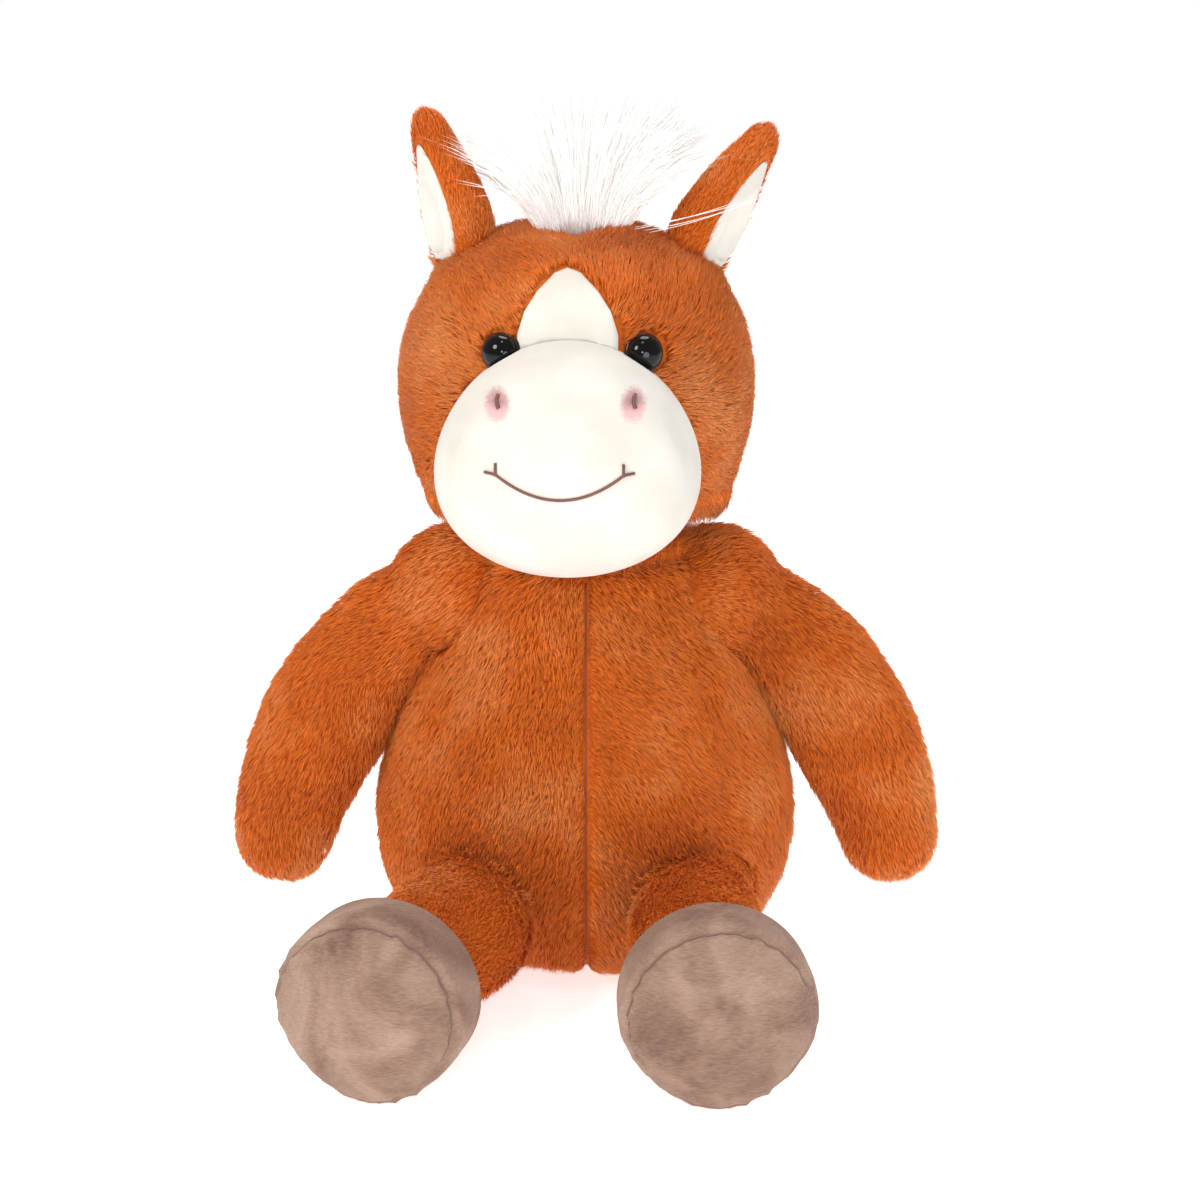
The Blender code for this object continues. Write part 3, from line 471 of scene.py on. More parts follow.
# Fibres along cubic curves: control is (count, 4, 3). Each is three-sided and closes to a point at both ends.
def strands(name, control, width, rings, mat, body, nodes):
    count = len(control)
    control[..., 2] = np.maximum(control[..., 2], fibre["ground"])
    bm = bmesh.new()
    bmesh.ops.create_circle(bm, segments=3, radius=0.5)
    section = np.array([v.co[:2] for v in bm.verts])
    bm.free()
    shares = [0.0] + [(i + 1) / (rings + 1) for i in range(rings)] + [1.0]
    perStrand = 2 + 3 * rings
    verts = np.empty((count, perStrand, 3), np.float32)
    verts[:, 0], verts[:, -1] = control[:, 0], control[:, 3]
    twist = rng.normal(0, 1, (count, 3))
    for i, t in enumerate(shares[1:-1]):
        s = 1 - t
        weights = np.array([s**3, 3 * t * s**2, 3 * t * t * s, t**3])
        slopes = np.array([-3 * s**2, 3 * s**2 - 6 * t * s, 6 * t * s - 3 * t * t, 3 * t * t])
        middle = np.einsum("k,nkc->nc", weights, control)
        along = unit(np.einsum("k,nkc->nc", slopes, control))
        across = unit(np.cross(along, twist))
        other = np.cross(along, across)
        girth = width * min(1.0, fibre["taper"][0] - fibre["taper"][1] * t)
        for k, (x, y) in enumerate(section):
            verts[:, 1 + 3 * i + k] = middle + across * (x * girth)[:, None] + other * (y * girth)[:, None]
    corners = []     # of each triangle: the vertex, the share round the fibre and the share along it
    rows = [[0] * 3] + [[1 + 3 * i + k for k in range(3)] for i in range(rings)] + [[perStrand - 1] * 3]
    for i in range(len(rows) - 1):
        near, far, s, e = rows[i], rows[i + 1], shares[i], shares[i + 1]
        for k in range(3):
            j = (k + 1) % 3
            low, mid, high = [(k + at) / 3 for at in fibre["cell"]]
            quad = [(near[k], low, s), (near[j], high, s), (far[j], high, e), (far[k], low, e)]
            if i == 0:
                quad = [(0, mid, s)] + quad[2:]
            elif i == len(rows) - 2:
                quad = quad[:2] + [(perStrand - 1, mid, e)]
            for triangle in ([0, 1, 2], [0, 2, 3])[:len(quad) - 2]:
                corners += [quad[c] for c in triangle]
    corners = np.array(corners)
    tones = corners[:, 2]
    cells = np.stack([corners[:, 1], fibre["cellRise"][0] + fibre["cellRise"][1] * tones], 1)
    index = (corners[:, 0] + (np.arange(count) * perStrand)[:, None]).reshape(-1).astype(np.int32)
    mesh = bpy.data.meshes.new(name)
    mesh.vertices.add(count * perStrand)
    mesh.vertices.foreach_set("co", verts.reshape(-1))
    mesh.loops.add(len(index))
    mesh.loops.foreach_set("vertex_index", index)
    mesh.polygons.add(len(index) // 3)
    mesh.polygons.foreach_set("loop_start", np.arange(0, len(index), 3, dtype=np.int32))
    grid = int(ceil(sqrt(count)))
    corner = np.stack([np.arange(count) % grid, np.arange(count) // grid], 1) / grid
    bake = (corner[:, None] + cells[None] / grid).reshape(-1).astype(np.float32)
    mesh.uv_layers.new(name="OFBake").data.foreach_set("uv", bake)
    own = np.stack([np.repeat(rng.random(count), len(tones)), np.tile(tones, count)], 1)
    mesh.uv_layers.new(name="strand").data.foreach_set("uv", own.reshape(-1).astype(np.float32))
    mesh.update(calc_edges=True)
    return piece(name, mesh, mat, body, nodes)


def unit(vectors):
    return vectors / np.maximum(1e-9, np.linalg.norm(vectors, axis=1))[:, None]


def awayFrom(p, point):
    return np.linalg.norm(p - np.array(point), axis=1)


# what each item of a mesh holds under a key, as rows of three
def readMesh(items, key, kind=float):
    values = np.empty(len(items) * 3, kind)
    items.foreach_get(key, values)
    return values.reshape(-1, 3)


# even random places on a skin, with its normals there; keep drops those that nothing shows
def skinPoints(skin, count, keep):
    mesh = skin.data
    mesh.calc_loop_triangles()
    points, normals = readMesh(mesh.vertices, "co"), readMesh(mesh.vertices, "normal")
    tris = readMesh(mesh.loop_triangles, "vertices", np.int32)
    a, b, c = points[tris[:, 0]], points[tris[:, 1]], points[tris[:, 2]]
    area = np.linalg.norm(np.cross(b - a, c - a), axis=1)
    area = area * keep((a + b + c) / 3, unit(normals[tris[:, 0]] + normals[tris[:, 1]] + normals[tris[:, 2]]))
    pick = rng.choice(len(tris), count, p=area / area.sum())
    u, v = rng.random(count), rng.random(count)
    flip = u + v > 1
    u[flip], v[flip] = 1 - u[flip], 1 - v[flip]
    share = np.stack([1 - u - v, u, v], 1)
    at = np.einsum("nk,nkc->nc", share, points[tris[pick]])
    return at, unit(np.einsum("nk,nkc->nc", share, normals[tris[pick]]))


def onSkin(direction, normals):
    return unit(direction - normals * (direction * normals).sum(1)[:, None])


brushing = {
    "patch": 0.03, "patchPull": 0.6,           # the brushing wanders over patches of about 30 mm
    "tuft": 0.0055, "tuftPull": 0.28,           # tufts of about 5 mm lean together
    "stray": 0.13, "rise": (0.3, 0.58), "tuftRise": 0.12, "sunk": 0.0005,
}
coatNap = {"length": (0.0038, 0.006), "width": (0.00024, 0.0004), "rise": 1.0}


# brushed pile over one skin: nap gives the number and sizes of its fibres, and comb the way they lie
def shortPile(name, skin, body, nap, comb, keep):
    count = nap["count"]
    roots, normals = skinPoints(skin, count, keep)
    patch = np.array([noise.noise_vector(Vector(p) / brushing["patch"]) for p in roots])
    tuft = np.array([noise.noise_vector(Vector(p) / brushing["tuft"] + Vector((9, 9, 9))) for p in roots])
    pull = comb(roots) + patch * brushing["patchPull"] + tuft * brushing["tuftPull"]
    lean = onSkin(pull + rng.normal(0, brushing["stray"], (count, 3)), normals)
    lengths = rng.uniform(*nap["length"], count)[:, None]
    up = (rng.uniform(*brushing["rise"], count) + brushing["tuftRise"] * tuft[:, 0])[:, None] * nap["rise"]
    # each leaves the backing nearly upright and then lies down
    control = np.empty((count, 4, 3))
    control[:, 0] = roots - normals * brushing["sunk"]
    control[:, 1] = roots + (normals * 0.85 + lean * 0.5) * lengths * 0.35
    control[:, 2] = roots + (normals * up + lean * 0.6) * lengths * 0.9
    control[:, 3] = roots + (normals * up * 0.95 + lean * 0.95) * lengths
    return strands(name, control, rng.uniform(*nap["width"], count), 1, pileMat, body, ())


# a comb that lays all of a pile one way
def combTo(direction):
    return lambda p: np.tile(np.array(direction), (len(p), 1))


# the places in one quarter round an upright line
def quarter(p, line, side, sign):
    return ((p[:, 0] - line.x) * side > 0) & ((p[:, 1] - line.y) * sign > 0)


# Torso

torso = {
    "height": 0.15, "width": 0.149, "depth": 0.124, "cap": 0.07, "sunk": 0.0005, "floor": 0.0004,
    "girth": [
        (0.0, 0.66), (0.06, 0.8), (0.16, 0.93), (0.33, 1.0), (0.5, 0.95), (0.68, 0.81), (0.84, 0.65),
        (0.96, 0.52), (1.0, 0.46),
    ],
    "lumps": (0.035, 0.002, 1), "seamDip": 0.0022, "seamWidth": 0.0045,
    "seam": {"low": 0.008, "length": 0.132, "steps": 59, "radius": 0.0005, "sunk": 0.0001},
    "fibres": {"Front": 28000, "Back": 13500}, "hem": 0.002,
    "brushed": (-0.2, 0.7), "parting": 0.45, "partingWidth": 0.0035,
    "ruff": {"count": 4600, "length": (0.008, 0.012), "width": (0.00026, 0.0004), "rise": 1.8},
    "ruffOut": 0.012, "ruffLow": 0.141, "ruffFan": 8,
    "bareRim": 0.001, "rootRim": 0.0012,     # round the balls: no torso pile; pile on the roots of limbs
}


def torsoShape(place, share):
    off = place.x / torso["seamWidth"]
    inward = torso["seamDip"] * exp(-off * off) * closing(share, torso["cap"])
    place.y -= copysign(inward, place.y - midline.y)
    place.z = max(place.z, torso["floor"])
    return place


def torsoForm(grow, around=96, rings=72):
    points = straight(midline, upward, -torso["sunk"], torso["height"], quarters)
    return softForm(points, torso, sideways, grow, around, rings, torsoShape)


sockets = [ballForm(pivots[joint], radius + clearance) for joint, radius in balls.items()]
bm = combined(lumps(torsoForm(-pileRise), *torso["lumps"]), sockets)
torsoNodes = ("torso_skin_left", "torso_skin_right")
torsoCoat = piece("torsoCoat", bm, backingMat, "torso", torsoNodes)


# down the belly, over to the side where the photograph shows it brushed that way, and parted by the seam
def torsoComb(p):
    lean = np.zeros_like(p)
    lean[:, 2] = -1
    lean[:, 0] = np.where(p[:, 0] > 0, torso["brushed"][1], torso["brushed"][0])
    lean[:, 0] += np.sign(p[:, 0]) * torso["parting"] * np.exp(-(p[:, 0] / torso["partingWidth"]) ** 2)
    return lean


def ruffComb(p):
    fan = torso["ruffFan"]
    return np.stack([p[:, 0] * fan, (p[:, 1] - midline.y) * fan, np.ones(len(p))], 1)


# the middle seam of the belly, sunk between the two halves' fibres; its dark thread is also painted crease shade
seam, seamLine = torso["seam"], []
for step in range(seam["steps"] + 1):
    place, normal = frontOf(torsoCoat, 0, seam["low"] + seam["length"] * step / seam["steps"])
    seamLine.append(place - normal * seam["sunk"])
piece("torsoSeamShade", threadTube(seamLine, seam["radius"], sideways), russetSeamShadeMat, "torso", ())


# 1 on the torso's own surface, less inside it
def torsoReach(p):
    shares, table = np.clip((p[:, 2] + torso["sunk"]) / torso["height"], 0, 1), np.linspace(0, 1, 200)
    girths = [smoothTable(torso["girth"], s) * closing(s, torso["cap"]) for s in table]
    girths = np.maximum(np.interp(shares, table, girths), 0.02)
    return np.hypot(p[:, 0] / (torso["width"] / 2), (p[:, 1] - midline.y) / (torso["depth"] / 2)) / girths


# places on a limb's ball that come out of the torso's socket at rest or at one of the turns of its joint
def comesOut(p, joint, turns):
    pivot, out = np.array(pivots[joint]), np.zeros(len(p), bool)
    for turn in turns:
        turned = np.array(Matrix.Rotation(radians(turn), 3, jointAxes[joint]))
        out |= torsoReach((p - pivot) @ turned.T + pivot) > 1.0
    return out & (awayFrom(p, pivot) < balls[joint] + torso["rootRim"])


# drops the places inside the sockets
def clearOfBalls(p):
    keep = np.ones(len(p), bool)
    for joint, radius in balls.items():
        keep &= awayFrom(p, pivots[joint]) > radius + torso["bareRim"]
    return keep


for word, side in sides.items():
    for end, sign in halves.items():
        shortPile(
            "torsoPile" + end + word.title(), torsoCoat, "torso", {**coatNap, "count": torso["fibres"][end]},
            torsoComb, lambda p, n: quarter(p, midline, side, sign) & clearOfBalls(p) & (p[:, 2] > torso["hem"]),
        )
    # longer fibres round the neck close the gap under the head
    shortPile(
        "neckRuff" + word.title(), torsoCoat, "torso", torso["ruff"], ruffComb,
        lambda p, n: (p[:, 0] * side > torso["ruffOut"]) & (p[:, 2] > torso["ruffLow"]) & clearOfBalls(p),
    )
neckBall = ballForm(pivots["neck_turn"], balls["neck_turn"])
piece("neckCoat", neckBall, backingMat, "neck", ("neck_wad",))
print("torso made")


# Head

head = {
    "height": 0.112, "width": 0.122, "depth": 0.112, "cap": 0.16, "bottom": 0.1465, "shift": -0.003,
    "girth": [(0.0, 0.52), (0.12, 0.78), (0.3, 0.94), (0.5, 1.0), (0.7, 0.95), (0.85, 0.81), (1.0, 0.66)],
    "lumps": (0.032, 0.0016, 2), "seamDip": 0.0011, "dip": 0.0035, "dipWidth": 0.013,
    "bump": 0.0016, "bumpOut": 0.018, "bumpWidth": 0.01, "crownPower": 6, "nodCone": 17.0,
    "fibres": {"Front": 21000, "Back": 10500}, "whorl": 0.205,
    "ruff": {"count": 4200, "length": (0.008, 0.0125), "width": (0.00026, 0.0004), "rise": 0.6},
    "ruffOut": 0.012, "ruffTop": 0.172, "ruffFuller": (0.028, 3.0), "ruffFan": 0.35,
}
headLine = midline + sideways * head["shift"]
headMiddle = headLine + upward * (head["bottom"] + head["height"] / 2)
crown = head["bottom"] + head["height"]


# the seam's dip down the face and back, deepest between the two bumps of the crown
def headShape(place, share):
    near = exp(-((place.x - headLine.x) / head["dipWidth"]) ** 2)
    place.y -= copysign(head["seamDip"] * near * closing(share, head["cap"]), place.y - midline.y)
    rise = max(0.0, (place.z - headMiddle.z) / (head["height"] / 2))
    beside = exp(-((abs(place.x - headLine.x) - head["bumpOut"]) / head["bumpWidth"]) ** 2)
    place.z += (head["bump"] * beside - head["dip"] * near) * rise ** head["crownPower"]
    return place


def headForm(grow, around=96, rings=72):
    points = straight(headLine, upward, head["bottom"], head["height"], quarters)
    return softForm(points, head, sideways, grow, around, rings, headShape)


# what lies under everything that is sewn on the head
def headCore():
    return headForm(-pileRise - sewnDepth)


# room for the head's nod over the torso
def nodCone():
    rise = beyond * tan(radians(head["nodCone"]))
    return turnedForm([(0, -beyond), (beyond, -beyond), (beyond, rise), (0, 0)], pivots["neck_turn"], upward)


neckRoom = ballForm(pivots["neck_turn"], balls["neck_turn"] + clearance)
bm = combined(lumps(headForm(-pileRise), *head["lumps"]), [nodCone(), neckRoom])
headNodes = ("head_skin_left", "head_skin_right")
headCoat = piece("headCoat", bm, backingMat, "head", headNodes)


# Muzzle, its smile and nostrils

muzzle = {
    "width": 0.086, "depth": 0.077, "cap": 0.22, "height": 0.189, "shift": -0.006, "root": 0.03,
    "front": 0.096, "girth": [(0.0, 0.9), (0.35, 1.0), (0.6, 0.99), (0.8, 0.86), (1.0, 0.62)],
    "jowl": 0.0035, "lift": 0.002, "bare": (0.0395, 0.0345),
}
muzzleLine = midline + sideways * muzzle["shift"] + upward * muzzle["height"]
nostril = {
    "spacing": 0.0434, "height": 0.2125, "shift": -0.0006, "front": 0.085, "radii": (0.0046, 0.02, 0.0056),
    "dent": 0.0014, "dentWidth": 0.0028,
    "stitch": 0.004, "stitchBow": 0.0022, "stitchRise": 0.0006, "stitchRadius": 0.0007, "stitchLift": 0.0002,
}


# fuller low down, as the filling sinks, and flatter over the nostrils
def muzzleShape(place, share):
    below = (muzzle["height"] - place.z) / (muzzle["depth"] / 2)
    lean = muzzle["jowl"] * max(-1.0, min(1.0, below))
    place.x += lean * (place.x - muzzleLine.x) / (muzzle["width"] / 2)
    place.y -= lean * share
    place.z += muzzle["lift"] * max(0.0, below) ** 2
    for spot in nostrilSpots:
        away = ((place.x - spot[0]) ** 2 + (place.z - spot[2]) ** 2) / nostril["dentWidth"]**2
        if place.y < midline.y - muzzle["root"]:
            place.y += nostril["dent"] * exp(-away)
    return place


def muzzleForm(grow, around=96, rings=64):
    points = straight(muzzleLine, ahead, muzzle["root"], muzzle["front"] - muzzle["root"], thirds)
    return softForm(points, muzzle, sideways, grow, around, rings, muzzleShape)


nostrilSpots = [
    (
        muzzleLine.x + nostril["shift"] + side * nostril["spacing"] / 2,
        midline.y - nostril["front"], nostril["height"],
    )
    for side in sides.values()
]
muzzleMat = material("creamAirbrushedVelour", muzzleVelour)
eye = {
    "radius": 0.0066, "dome": 0.005, "spacing": 0.0475, "height": 0.223, "out": 18.0, "up": 14.0,
    "sink": 0.0022, "rim": 0.0012, "bare": 0.0006, "domeRise": 0.0019, "domeInset": 0.0005, "steps": 16,
    # the rim's outline, each as (in from the radius, up from the back)
    "rimTop": 0.0022, "section": [(0.0004, 0), (0, 0.0006), (0, 0.0016), (0.0003, 0.0021), (0.0009, 0.0022)],
}


# where an eye sits on the face, and the way it points
def eyePlace(side):
    out, tilt = radians(eye["out"]), radians(eye["up"])
    aim = Vector((side * sin(out) * cos(tilt), -cos(out) * cos(tilt), sin(tilt)))
    x = side * eye["spacing"] / 2 - (head["shift"] - muzzle["shift"]) / 2
    share = (eye["height"] - head["bottom"]) / head["height"]
    girth = smoothTable(head["girth"], share) * closing(share, head["cap"])
    across = x / (head["width"] / 2 * girth)
    y = -head["depth"] / 2 * girth * sqrt(1 - across * across)
    return headLine + Vector((x, y, eye["height"])), aim


# what the face's coverings leave free for the eyes
def eyeRooms():
    spots = [eyePlace(side) for side in sides.values()]
    return [ballForm(place + aim * eye["rim"], eye["radius"] + 2 * clearance, 32, 24) for place, aim in spots]


bm = combined(muzzleForm(0), [headCore()] + eyeRooms())
muzzlePiece = piece("muzzleCover", bm, muzzleMat, "head", ("muzzle_skin",))
print("muzzle made")


# a place on the muzzle's front, lifted off it by a share of a thread's radius
def onMuzzle(x, z, radius, share=1):
    place, normal = frontOf(muzzlePiece, x, z)
    return place + normal * radius * share


smile = {
    "half": 0.0202, "shift": -0.0024, "height": 0.1915, "drop": 0.0072, "tick": 0.0035, "radius": 0.0005,
    "steps": 24, "cornerRise": 0.0005, "tickDrop": 0.0006, "lift": 0.7,
}
line = []
for step in range(2 * smile["steps"] + 1):
    t = step / smile["steps"] - 1
    x = muzzleLine.x + smile["shift"] + smile["half"] * t
    line.append((x, smile["height"] - smile["drop"] * (1 - t * t)))
line.insert(0, (line[0][0] - smile["tick"], line[0][1] + smile["cornerRise"]))
line.append((line[-1][0] + smile["tick"], line[-1][1] + smile["cornerRise"]))
ticks = [[(x, z - smile["tickDrop"]), (x, z + smile["tick"])] for x, z in (line[1], line[-2])]
tubes = [
    threadTube([onMuzzle(x, z, smile["radius"], smile["lift"]) for x, z in run], smile["radius"])
    for run in [line] + ticks
]
bm = combined(tubes[0], tubes[1:], "UNION")
piece("mouthThread", bm, threadMat, "head", ("mouth_thread",))
for word, spot in zip(sides, nostrilSpots):
    run = []
    for s in (-0.5, -0.25, 0, 0.25, 0.5):
        x, z = spot[0] + nostril["stitchBow"] * s * s, spot[2] + nostril["stitchRise"] + nostril["stitch"] * s
        run.append(onMuzzle(x, z, nostril["stitchLift"]))
    bm, nodes = threadTube(run, nostril["stitchRadius"]), ("nostril_stitch_" + word,)
    piece("nostrilStitch" + word.title(), bm, threadMat, "head", nodes)


# Blaze patch

blaze = {
    "width": 0.033, "height": 0.0265, "bottom": 0.222, "rise": 0.0004, "gap": 0.00005,
    "outline": [(-0.5, -0.3), (-0.5, 0), (-0.5, 0.25), (-0.43, 0.52), (-0.3, 0.76), (-0.13, 0.95), (0, 1)],
}
half = [(x * blaze["width"], blaze["bottom"] + z * blaze["height"]) for x, z in blaze["outline"]]
whole = half + [(-x, z) for x, z in reversed(half[:-1])]
prism = bmesh.new()
verts = [prism.verts.new((muzzleLine.x + x, midline.y, z)) for x, z in whole]
grown = bmesh.ops.extrude_face_region(prism, geom=[prism.faces.new(verts)])
front = [part for part in grown["geom"] if isinstance(part, bmesh.types.BMVert)]
bmesh.ops.translate(prism, vec=ahead * beyond, verts=front)
bm = combined(headForm(blaze["rise"]), [outward(prism)], "INTERSECT")
bm = combined(bm, [headCore(), muzzleForm(blaze["gap"])] + eyeRooms())
piece("blazePatch", bm, creamMat, "head", ("blaze_patch",))


# Eyes

for word, side in sides.items():
    (place, aim), name = eyePlace(side), word.title()
    low, start, reach = -eye["sink"], -eye["sink"] + eye["domeRise"], eye["radius"] - eye["domeInset"]
    rim = [(eye["radius"] - inset, low + up) for inset, up in eye["section"]]
    rim = [(0, low)] + rim + [(0, low + eye["rimTop"])]
    piece("eyeRim" + name, turnedForm(rim, place, aim, 64), rimMat, "head", ())
    dome = [(0, start), (reach, start)]
    for step in range(1, eye["steps"]):
        turn = pi / 2 * step / eye["steps"]
        dome.append((reach * cos(turn), start + eye["dome"] * sin(turn)))
    dome.append((0, start + eye["dome"]))
    piece("eyeDome" + name, turnedForm(dome, place, aim, 64), eyeMat, "head", ("eye_" + word,))
print("face made")


# the head's pile: away from the middle of the face, over the crown, and down the back
def headComb(p):
    away = p - np.array([headLine.x, 0, head["whorl"]])
    away[:, 1] = 0
    away = unit(away) + np.array([0, 0.5, 0]) * np.clip((p[:, 2:3] - 0.235) / 0.02, 0, 1)
    behind = np.clip((p[:, 1:2] - midline.y + 0.004) / 0.03, 0, 1)
    return away * (1 - behind) + np.array([0, 0, -1]) * behind


# no fibre grows under the muzzle, the blaze, the eyes or in the neck's opening
def bareFace(p):
    pivot = pivots["neck_turn"]
    keep = awayFrom(p, pivot) > balls["neck_turn"] + torso["bareRim"]
    flat = np.hypot(p[:, 0], p[:, 1] - pivot.y)
    keep &= p[:, 2] > pivot.z + flat * tan(radians(head["nodCone"])) + torso["bareRim"]
    across, below = p[:, 0] - muzzleLine.x, p[:, 2] - muzzle["height"]
    inMuzzle = (across / muzzle["bare"][0]) ** 2 + (below / muzzle["bare"][1]) ** 2 < 1
    rise = (p[:, 2] - blaze["bottom"]) / blaze["height"]
    heights, reaches = zip(*sorted((z, -x) for x, z in blaze["outline"]))
    inBlaze = (np.abs(across) < np.interp(rise, heights, reaches, right=0) * blaze["width"]) & (rise < 1)
    keep &= ~((p[:, 1] < midline.y) & (inMuzzle | inBlaze))
    for side in sides.values():
        keep &= awayFrom(p, eyePlace(side)[0]) > eye["radius"] + eye["bare"]
    return keep


# how thickly the ruff under the head grows at each place
def ruffShare(p, side):
    out, (fuller, share) = (p[:, 0] - headLine.x) * side, head["ruffFuller"]
    low = (out > head["ruffOut"]) * (p[:, 2] < head["ruffTop"])
    return low * bareFace(p) * np.where(out > fuller, share, 1.0)


for word, side in sides.items():
    for end, sign in halves.items():
        shortPile(
            "headPile" + end + word.title(), headCoat, "head", {**coatNap, "count": head["fibres"][end]},
            headComb, lambda p, n: quarter(p, headLine, side, sign) & bareFace(p),
        )
    # longer fibres hang from its lower edge over the neck
    hanging = combTo([side * head["ruffFan"], 0, -1])
    shortPile("headRuff" + word.title(), headCoat, "head", head["ruff"], hanging, lambda p, n: ruffShare(p, side))


# Ears

ear = {
    "length": 0.056, "width": 0.03, "depth": 0.024, "cap": 0.1, "out": 0.0375, "height": 0.242, "back": 0.004,
    "girth": [(0.0, 0.8), (0.25, 1.0), (0.5, 0.9), (0.75, 0.65), (0.92, 0.44), (1.0, 0.34)],
    "lean": {"left": 12.0, "right": 27.0}, "turn": 64.0, "curl": 0.003, "coat": -0.001, "within": -0.0013,
    # how far in, out of the mouth and up: the bore, the lining in it, and the lining's own hollow
    "bore": (-0.0026, 0.01, 0.003), "lining": (-0.0029, 0.01, 0.0033), "hollow": (-0.0042, 0.014, 0.0054),
    "nap": {"count": 6400, "length": (0.0026, 0.0044), "width": (0.00022, 0.00036), "rise": 0.8},
    "bare": 0.0005,
}


def earFrame(word):
    side, lean, turn = sides[word], radians(ear["lean"][word]), radians(ear["turn"])
    along = Vector((side * sin(lean), 0, cos(lean)))
    mouth = Vector((side * sin(turn), -cos(turn), 0))
    mouth = (mouth - along * mouth.dot(along)).normalized()
    return headLine + Vector((side * ear["out"], ear["back"], ear["height"])), along, mouth


def earForm(word, grow, shift=0.0, lift=0.0):
    root, along, mouth = earFrame(word)
    points = [
        root + mouth * shift + along * (lift + (ear["length"] - lift) * s) + mouth * ear["curl"] * s * s
        for s in thirds
    ]
    return softForm(points, ear, along.cross(mouth), grow, 48, 40)


for word in sides:
    bore, name = earForm(word, *ear["bore"]), word.title()
    wall = BVHTree.FromBMesh(bore)
    bm = combined(earForm(word, ear["coat"]), [bore, headCore()])
    coat = piece("earCoat" + name, bm, backingMat, "head", ("ear_" + word,))
    bm = combined(earForm(word, *ear["lining"]), [earForm(word, ear["within"])], "INTERSECT")
    bm = combined(bm, [earForm(word, *ear["hollow"]), headCore()])
    piece("earLining" + name, bm, creamMat, "head", ("ear_lining_" + word,))
    # fibres on the outside only, off the opening's wall
    shortPile(
        "earPile" + name, coat, "head", ear["nap"], combTo(earFrame(word)[1]),
        lambda p, n: np.array([wall.find_nearest(Vector(at))[3] > ear["bare"] for at in p]),
    )
print("head made")


# Arms

arm = {
    "reach": 0.064, "drop": 0.104, "forward": 0.008, "width": 0.047, "depth": 0.04, "cap": 0.12,
    "path": [(0.0, 0.0), (0.46, 0.2), (0.8, 0.52), (0.96, 0.8), (1.0, 1.0)],
    "girth": [(0.0, 0.9), (0.25, 0.94), (0.55, 1.0), (0.8, 0.84), (1.0, 0.66)],
    "even": (0.0016, 10), "lumps": (0.024, 0.0012), "seed": 3,
    "nap": {**coatNap, "count": 19500}, "behind": (0.3, 0.6),     # thinner where the skin faces back
    "rootNap": {"count": 1800, "length": (0.0022, 0.0034), "width": (0.00028, 0.00042), "rise": 0.6},
    "turns": (15, 30, 45),
}
for word, side in sides.items():
    joint, body, name = "arm_" + word + "_raise", "arm_" + word, word.title()
    pivot = pivots[joint]
    points = [
        pivot + Vector((side * arm["reach"] * out, -arm["forward"] * down, -arm["drop"] * down))
        for out, down in arm["path"]
    ]
    bm = combined(softForm(points, arm, sideways, -pileRise, 64, 72), [torsoForm(clearance, 64, 48)])
    bm = softened(combined(bm, [ballForm(pivot, balls[joint])], "UNION"), *arm["even"])
    bm = lumps(bm, *arm["lumps"], arm["seed"] + side)
    coat = piece("armCoat" + name, bm, backingMat, body, ("arm_skin_" + word,))
    line = unit(np.diff(np.array(points), axis=0))

    def armComb(p):
        down = np.clip((pivot.z - p[:, 2]) / arm["drop"], 0, 1)
        return line[np.minimum((down * len(line)).astype(int), len(line) - 1)]

    shortPile(
        "armPile" + name, coat, body, arm["nap"], armComb,
        lambda p, n: (torsoReach(p) > 1.0) * np.where(n[:, 1] > arm["behind"][0], arm["behind"][1], 1.0),
    )
    # shorter pile on the root, which the raised arm shows
    shortPile(
        "armRootPile" + name, coat, body, arm["rootNap"], armComb,
        lambda p, n: (torsoReach(p) <= 1.0) & comesOut(p, joint, arm["turns"]),
    )
print("arms made")


# Legs and hooves

leg = {
    "length": 0.09, "width": 0.045, "depth": 0.045, "cap": 0.1,
    "girth": [(0.0, 0.92), (0.3, 0.98), (0.7, 1.0), (1.0, 1.02)],
    "splay": {"left": 17.0, "right": 3.0}, "most": 30.0,
    "spread": {"left": 0.42, "right": 0.1}, "spreadEnd": 1.15,
    "nap": {**coatNap, "count": 12000}, "bare": 0.0005, "cuff": 0.006, "hem": 0.006, "rootHem": 0.004,
    "rootNap": {"count": 2200, "length": (0.0026, 0.004), "width": (0.00028, 0.00042), "rise": 0.7},
}
hoof = {
    "width": 0.063, "depth": 0.063, "band": 0.023, "bulge": 0.01, "overlap": 0.01, "cap": 0.3,
    "girth": [(0.0, 0.78), (0.14, 0.93), (0.45, 1.0), (1.0, 0.97)], "point": 0.16, "floor": 0.0002,
    "groove": 0.0015, "grooveWidth": 0.0012, "gather": 0.35, "gatherWidth": 0.0042, "pleat": 0.0009,
    "pleatWidth": 0.0055, "calfGap": 0.0002, "soleGap": 0.0003, "threadRadius": 0.00036, "steps": 144,
}


def legAxis(word):
    splay = radians(leg["splay"][word])
    return Vector((sides[word] * sin(splay), -cos(splay), 0))


